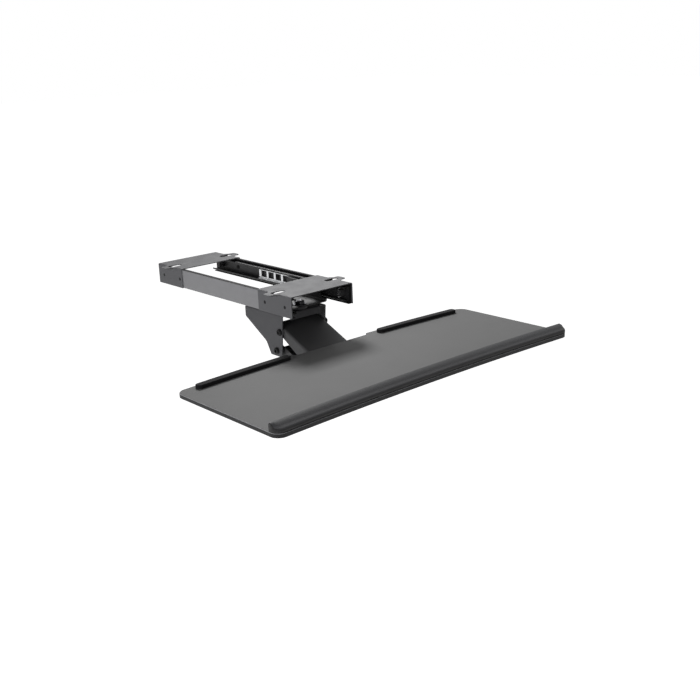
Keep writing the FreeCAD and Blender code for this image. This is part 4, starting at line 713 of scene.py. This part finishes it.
def knob_rings():
    """Rings of the knob's outside from its seat outward, and of its bore for the brass insert."""
    rings = [(0.0, circle(6.55)), (0.0, circle(16.2)), (0.5, circle(17.1)), (1.2, circle(17.45)),
             (3.2, circle(17.45)), (3.9, lobes(17.4, 0.6)), (4.6, lobes(17.3, 2.7))]
    rings += [(height, lobes(17.5 - 0.02 * height, 3.2)) for height in (5.6, 8, 11, 14)]
    rings += [(15.6, lobes(17.1, 3.2)), (16.7, lobes(16.2, 3.0)), (17.5, lobes(14.6, 2.4)),
              (17.9, lobes(12.4, 1.2)), (18.0, circle(10.4)), (17.3, circle(9.9)), (17.3, circle(6.0)),
              (17.7, circle(4.0)), (17.8, circle(0.2))]
    bore = [(15.0, circle(6.55)), (15.0, circle(0.1))]
    return rings, bore


outside, bore = knob_rings()
knob_points, knob_faces = turned(list(reversed(bore)) + outside, 96)
knob_seat = Vector((place("tilt_knob", X, LOWEST), *CLAMP)) * MM
knob = mesh_piece("tilt_knob_grip", [RIGHTWARD @ p + knob_seat for p in knob_points], knob_faces, NYLON)
settle(knob, "tilt_knob", ("tilt_knob",))


# Palm rest

# Depth and half length of the cushion, and the radius of its front corners.
PALM_DEPTH = 21.0
PALM_END = place("palm_rest", X, HIGHEST)
CORNER = 15.5
# The board's front edge in the middle, and how far its ends stand in front of that.
FRONT_Y = place("palm_rest", Y, HIGHEST) - PALM_DEPTH
FRONT_BOW = 9.2
# The part of the section behind the front corners keeps its depth right to the ends.
FIXED = PALM_DEPTH - CORNER
# The upper edge is rounded at both ends, in the photograph more at the right.
LEFT_END_ROUND = 1.2
RIGHT_END_ROUND = 5.5
# The rounding lowers what stands above the first height, and in full what stands the second one higher.
ROUND_FROM = 4
ROUND_OVER = 11


def arc(middle, radius, first, last, steps):
    """Points on an arc of the section; angles in degrees, 0 level and 90 straight up."""
    return [(middle[0] + radius * math.cos(math.radians(first + (last - first) * step / steps)),
             middle[1] + radius * math.sin(math.radians(first + (last - first) * step / steps)))
            for step in range(steps + 1)]


def palm_section():
    """The cushion's section as (depth from its rear, height): a steep back, a crowned slope, a full front."""
    points = [(0.15, 0.0), (0.0, 0.6), (-0.02, 3.5), (0.0, 7.0)]
    points += [(4 - u, h) for u, h in arc((0, 10.9), 4.0, 0, 68, 7)]
    for step in range(1, 10):
        share = step / 10
        slope = 14.6 - 6.4 * share
        points.append((2.6 + 13.4 * share, slope + 0.95 * math.sin(math.pi * share)))
    points += [(16.2 + u, h) for u, h in arc((0, 3.5), 4.75, 68, 0, 7)]
    points += [(20.95, 2.6), (20.8, 1.9), (19.7, 1.5), (19.6, 1.0), (20.6, 0.6), (20.7, 0.25), (20.5, 0.0)]
    return points


def palm_rest():
    """The section carried along the board's bowed front edge, drawn in round the front corners."""
    radius = (BOARD_HALF ** 2 + FRONT_BOW ** 2) / (2 * FRONT_BOW)
    stations = [PALM_END * math.sin(math.pi / 2 * step / 90) for step in range(91)]
    stations = [-x for x in reversed(stations[1:])] + stations
    section = palm_section()
    points, faces = [], []
    for x in stations:
        edge = FRONT_Y + math.sqrt(radius ** 2 - x ** 2) - radius
        over = max(0.0, abs(x) - (PALM_END - CORNER))
        depth = PALM_DEPTH - (CORNER - math.sqrt(CORNER ** 2 - over ** 2))
        rounding = RIGHT_END_ROUND if x > 0 else LEFT_END_ROUND
        end = max(0.0, abs(x) - (PALM_END - rounding))
        lower = rounding - math.sqrt(max(0.0, rounding ** 2 - end ** 2))
        for u, height in section:
            if u > FIXED:
                u = FIXED + (u - FIXED) * (depth - FIXED) / CORNER
            drop = lower * max(0.0, height - ROUND_FROM) / ROUND_OVER
            points.append(Vector((x, edge + PALM_DEPTH - u, BOARD_TOP + height - drop)) * MM)
    count = len(section)
    for station in range(len(stations) - 1):
        low, high = station * count, (station + 1) * count
        for step in range(count):
            after = (step + 1) % count
            faces.append((low + step, low + after, high + after, high + step))
    faces.append(tuple(reversed(range(count))))
    faces.append(tuple(range((len(stations) - 1) * count, len(stations) * count)))
    return mesh_piece("palm_rest_cushion", points, faces, LEATHER)


cushion = palm_rest()
settle(cushion, "tray", ("palm_rest",))


# Floor, light and camera

# What the floor glows with for seen rays, so that it is white in the picture and still keeps the shadow.
FLOOR_LIFT = 0.84
# The floor's height and half width, in metres.
FLOOR_LEVEL = -0.76
FLOOR_REACH = 22.0
# The surroundings' level as a light, at the horizon and near the zenith.
HORIZON_LIGHT = 0.08
ZENITH_LIGHT = 0.24
# The fitted camera: the picture's width and the focal length in pixels, then its place and its angles.
PICTURE_PX = 700
FOCAL_PX = 990.4
CAMERA_PLACE = (-1.10465, -1.54169, 0.42613)
AZIMUTH, ELEVATION, ROLL = (math.radians(angle) for angle in (-41.38, 17.45, -2.115))


def seen_rays(tree):
    """One for the rays by which the camera, a mirror or a glass sees the surroundings, else nought."""
    path = add(tree, "ShaderNodeLightPath").outputs
    seen = add(tree, "ShaderNodeMath", {"operation": "MAXIMUM"},
               {0: path["Is Camera Ray"], 1: path["Is Glossy Ray"]}).outputs[0]
    return add(tree, "ShaderNodeMath", {"operation": "MAXIMUM"},
               {0: seen, 1: path["Is Transmission Ray"]}).outputs[0]


def make_floor():
    """A white floor that takes the light and its shadows, and glows for seen rays."""
    material, tree, coords = start("pale_studio_floor")
    cloud = add(tree, "ShaderNodeTexNoise", None,
                {"Vector": coords, "Scale": 1 / (900 * MM), "Detail": 1}).outputs["Fac"]
    white = add(tree, "ShaderNodeMix", COLOURS,
                {0: cloud, 6: linear("#fdfdfd"), 7: linear("#ffffff")}).outputs[2]
    lit = add(tree, "ShaderNodeBsdfDiffuse", None, {"Color": white}).outputs[0]
    lift = add(tree, "ShaderNodeMath", {"operation": "MULTIPLY"},
               {0: seen_rays(tree), 1: FLOOR_LIFT}).outputs[0]
    glow = add(tree, "ShaderNodeEmission", None, {"Color": (1, 1, 1, 1), "Strength": lift}).outputs[0]
    both = add(tree, "ShaderNodeAddShader", None, {0: lit, 1: glow}).outputs[0]
    add(tree, "ShaderNodeOutputMaterial", None, {"Surface": both})
    corners = [(x * FLOOR_REACH, y * FLOOR_REACH, FLOOR_LEVEL)
               for x, y in ((-1, -1), (1, -1), (1, 1), (-1, 1))]
    floor = mesh_piece("studio_floor", corners, [(0, 1, 2, 3)], material)


def make_world():
    """Pure white for seen rays; as a light, a dim sky that is brighter overhead."""
    world = bpy.data.worlds.new("studio")
    bpy.context.scene.world = world
    world.use_nodes = True
    tree = world.node_tree
    tree.nodes.clear()
    direction = add(tree, "ShaderNodeTexCoord").outputs["Generated"]
    height = add(tree, "ShaderNodeSeparateXYZ", None, {0: direction}).outputs["Z"]
    lit = add(tree, "ShaderNodeMapRange", None,
              {"Value": height, "From Min": 0.0, "From Max": 0.9,
               "To Min": HORIZON_LIGHT, "To Max": ZENITH_LIGHT}).outputs[0]
    level = add(tree, "ShaderNodeMix", NUMBERS, {0: seen_rays(tree), 2: lit, 3: 1.0}).outputs[0]
    sky = add(tree, "ShaderNodeBackground", None, {"Color": (1, 1, 1, 1), "Strength": level})
    add(tree, "ShaderNodeOutputWorld", None, {"Surface": sky.outputs[0]})


def lamp(name, stand, target, width, height, power, beam=180):
    """A rectangular lamp that stands somewhere and aims at a target; power in watts, beam in degrees."""
    data = bpy.data.lights.new(name, "AREA")
    data.spread = math.radians(beam)
    data.shape = "RECTANGLE"
    data.size, data.size_y, data.energy = width, height, power
    made = bpy.data.objects.new(name, data)
    made.location = stand
    made.rotation_euler = (Vector(target) - Vector(stand)).to_track_quat("-Z", "Y").to_euler()
    bpy.context.scene.collection.objects.link(made)
    made.visible_camera = False
    return made


def make_camera():
    """The photograph's view, fitted to the straight edges of the board and the frame."""
    back = Vector((math.sin(AZIMUTH) * math.cos(ELEVATION), -math.cos(AZIMUTH) * math.cos(ELEVATION),
                   math.sin(ELEVATION)))
    level = Vector((math.cos(AZIMUTH), math.sin(AZIMUTH), 0))
    up = back.cross(level)
    right = math.cos(ROLL) * level + math.sin(ROLL) * up
    top = math.cos(ROLL) * up - math.sin(ROLL) * level
    data = bpy.data.cameras.new("camera")
    data.sensor_width = 36
    data.lens = FOCAL_PX * data.sensor_width / PICTURE_PX
    half_pixel = 0.5 / PICTURE_PX
    data.shift_x, data.shift_y = -half_pixel, half_pixel
    data.clip_start, data.clip_end = 0.05, 100
    made = bpy.data.objects.new("camera", data)
    turn = Matrix((right, top, back)).transposed().to_4x4()
    made.matrix_world = Matrix.Translation(CAMERA_PLACE) @ turn
    bpy.context.scene.collection.objects.link(made)
    bpy.context.scene.camera = made


make_floor()
make_world()
key = lamp("soft_key", (-2.5, -0.75, 0.4), (0, -0.15, -0.08), width=1.4, height=0.9, power=72)
# It stands so low that its mirror image would put a white streak along the tray's front edge.
key.visible_glossy = False
lamp("soft_back", (0.5, 0.8, 1.02), (0.4, -0.62, -0.1), width=0.5, height=0.4, power=9, beam=80)
make_camera()
bpy.context.scene.view_settings.view_transform = "Standard"

bpy.context.view_layer.update()
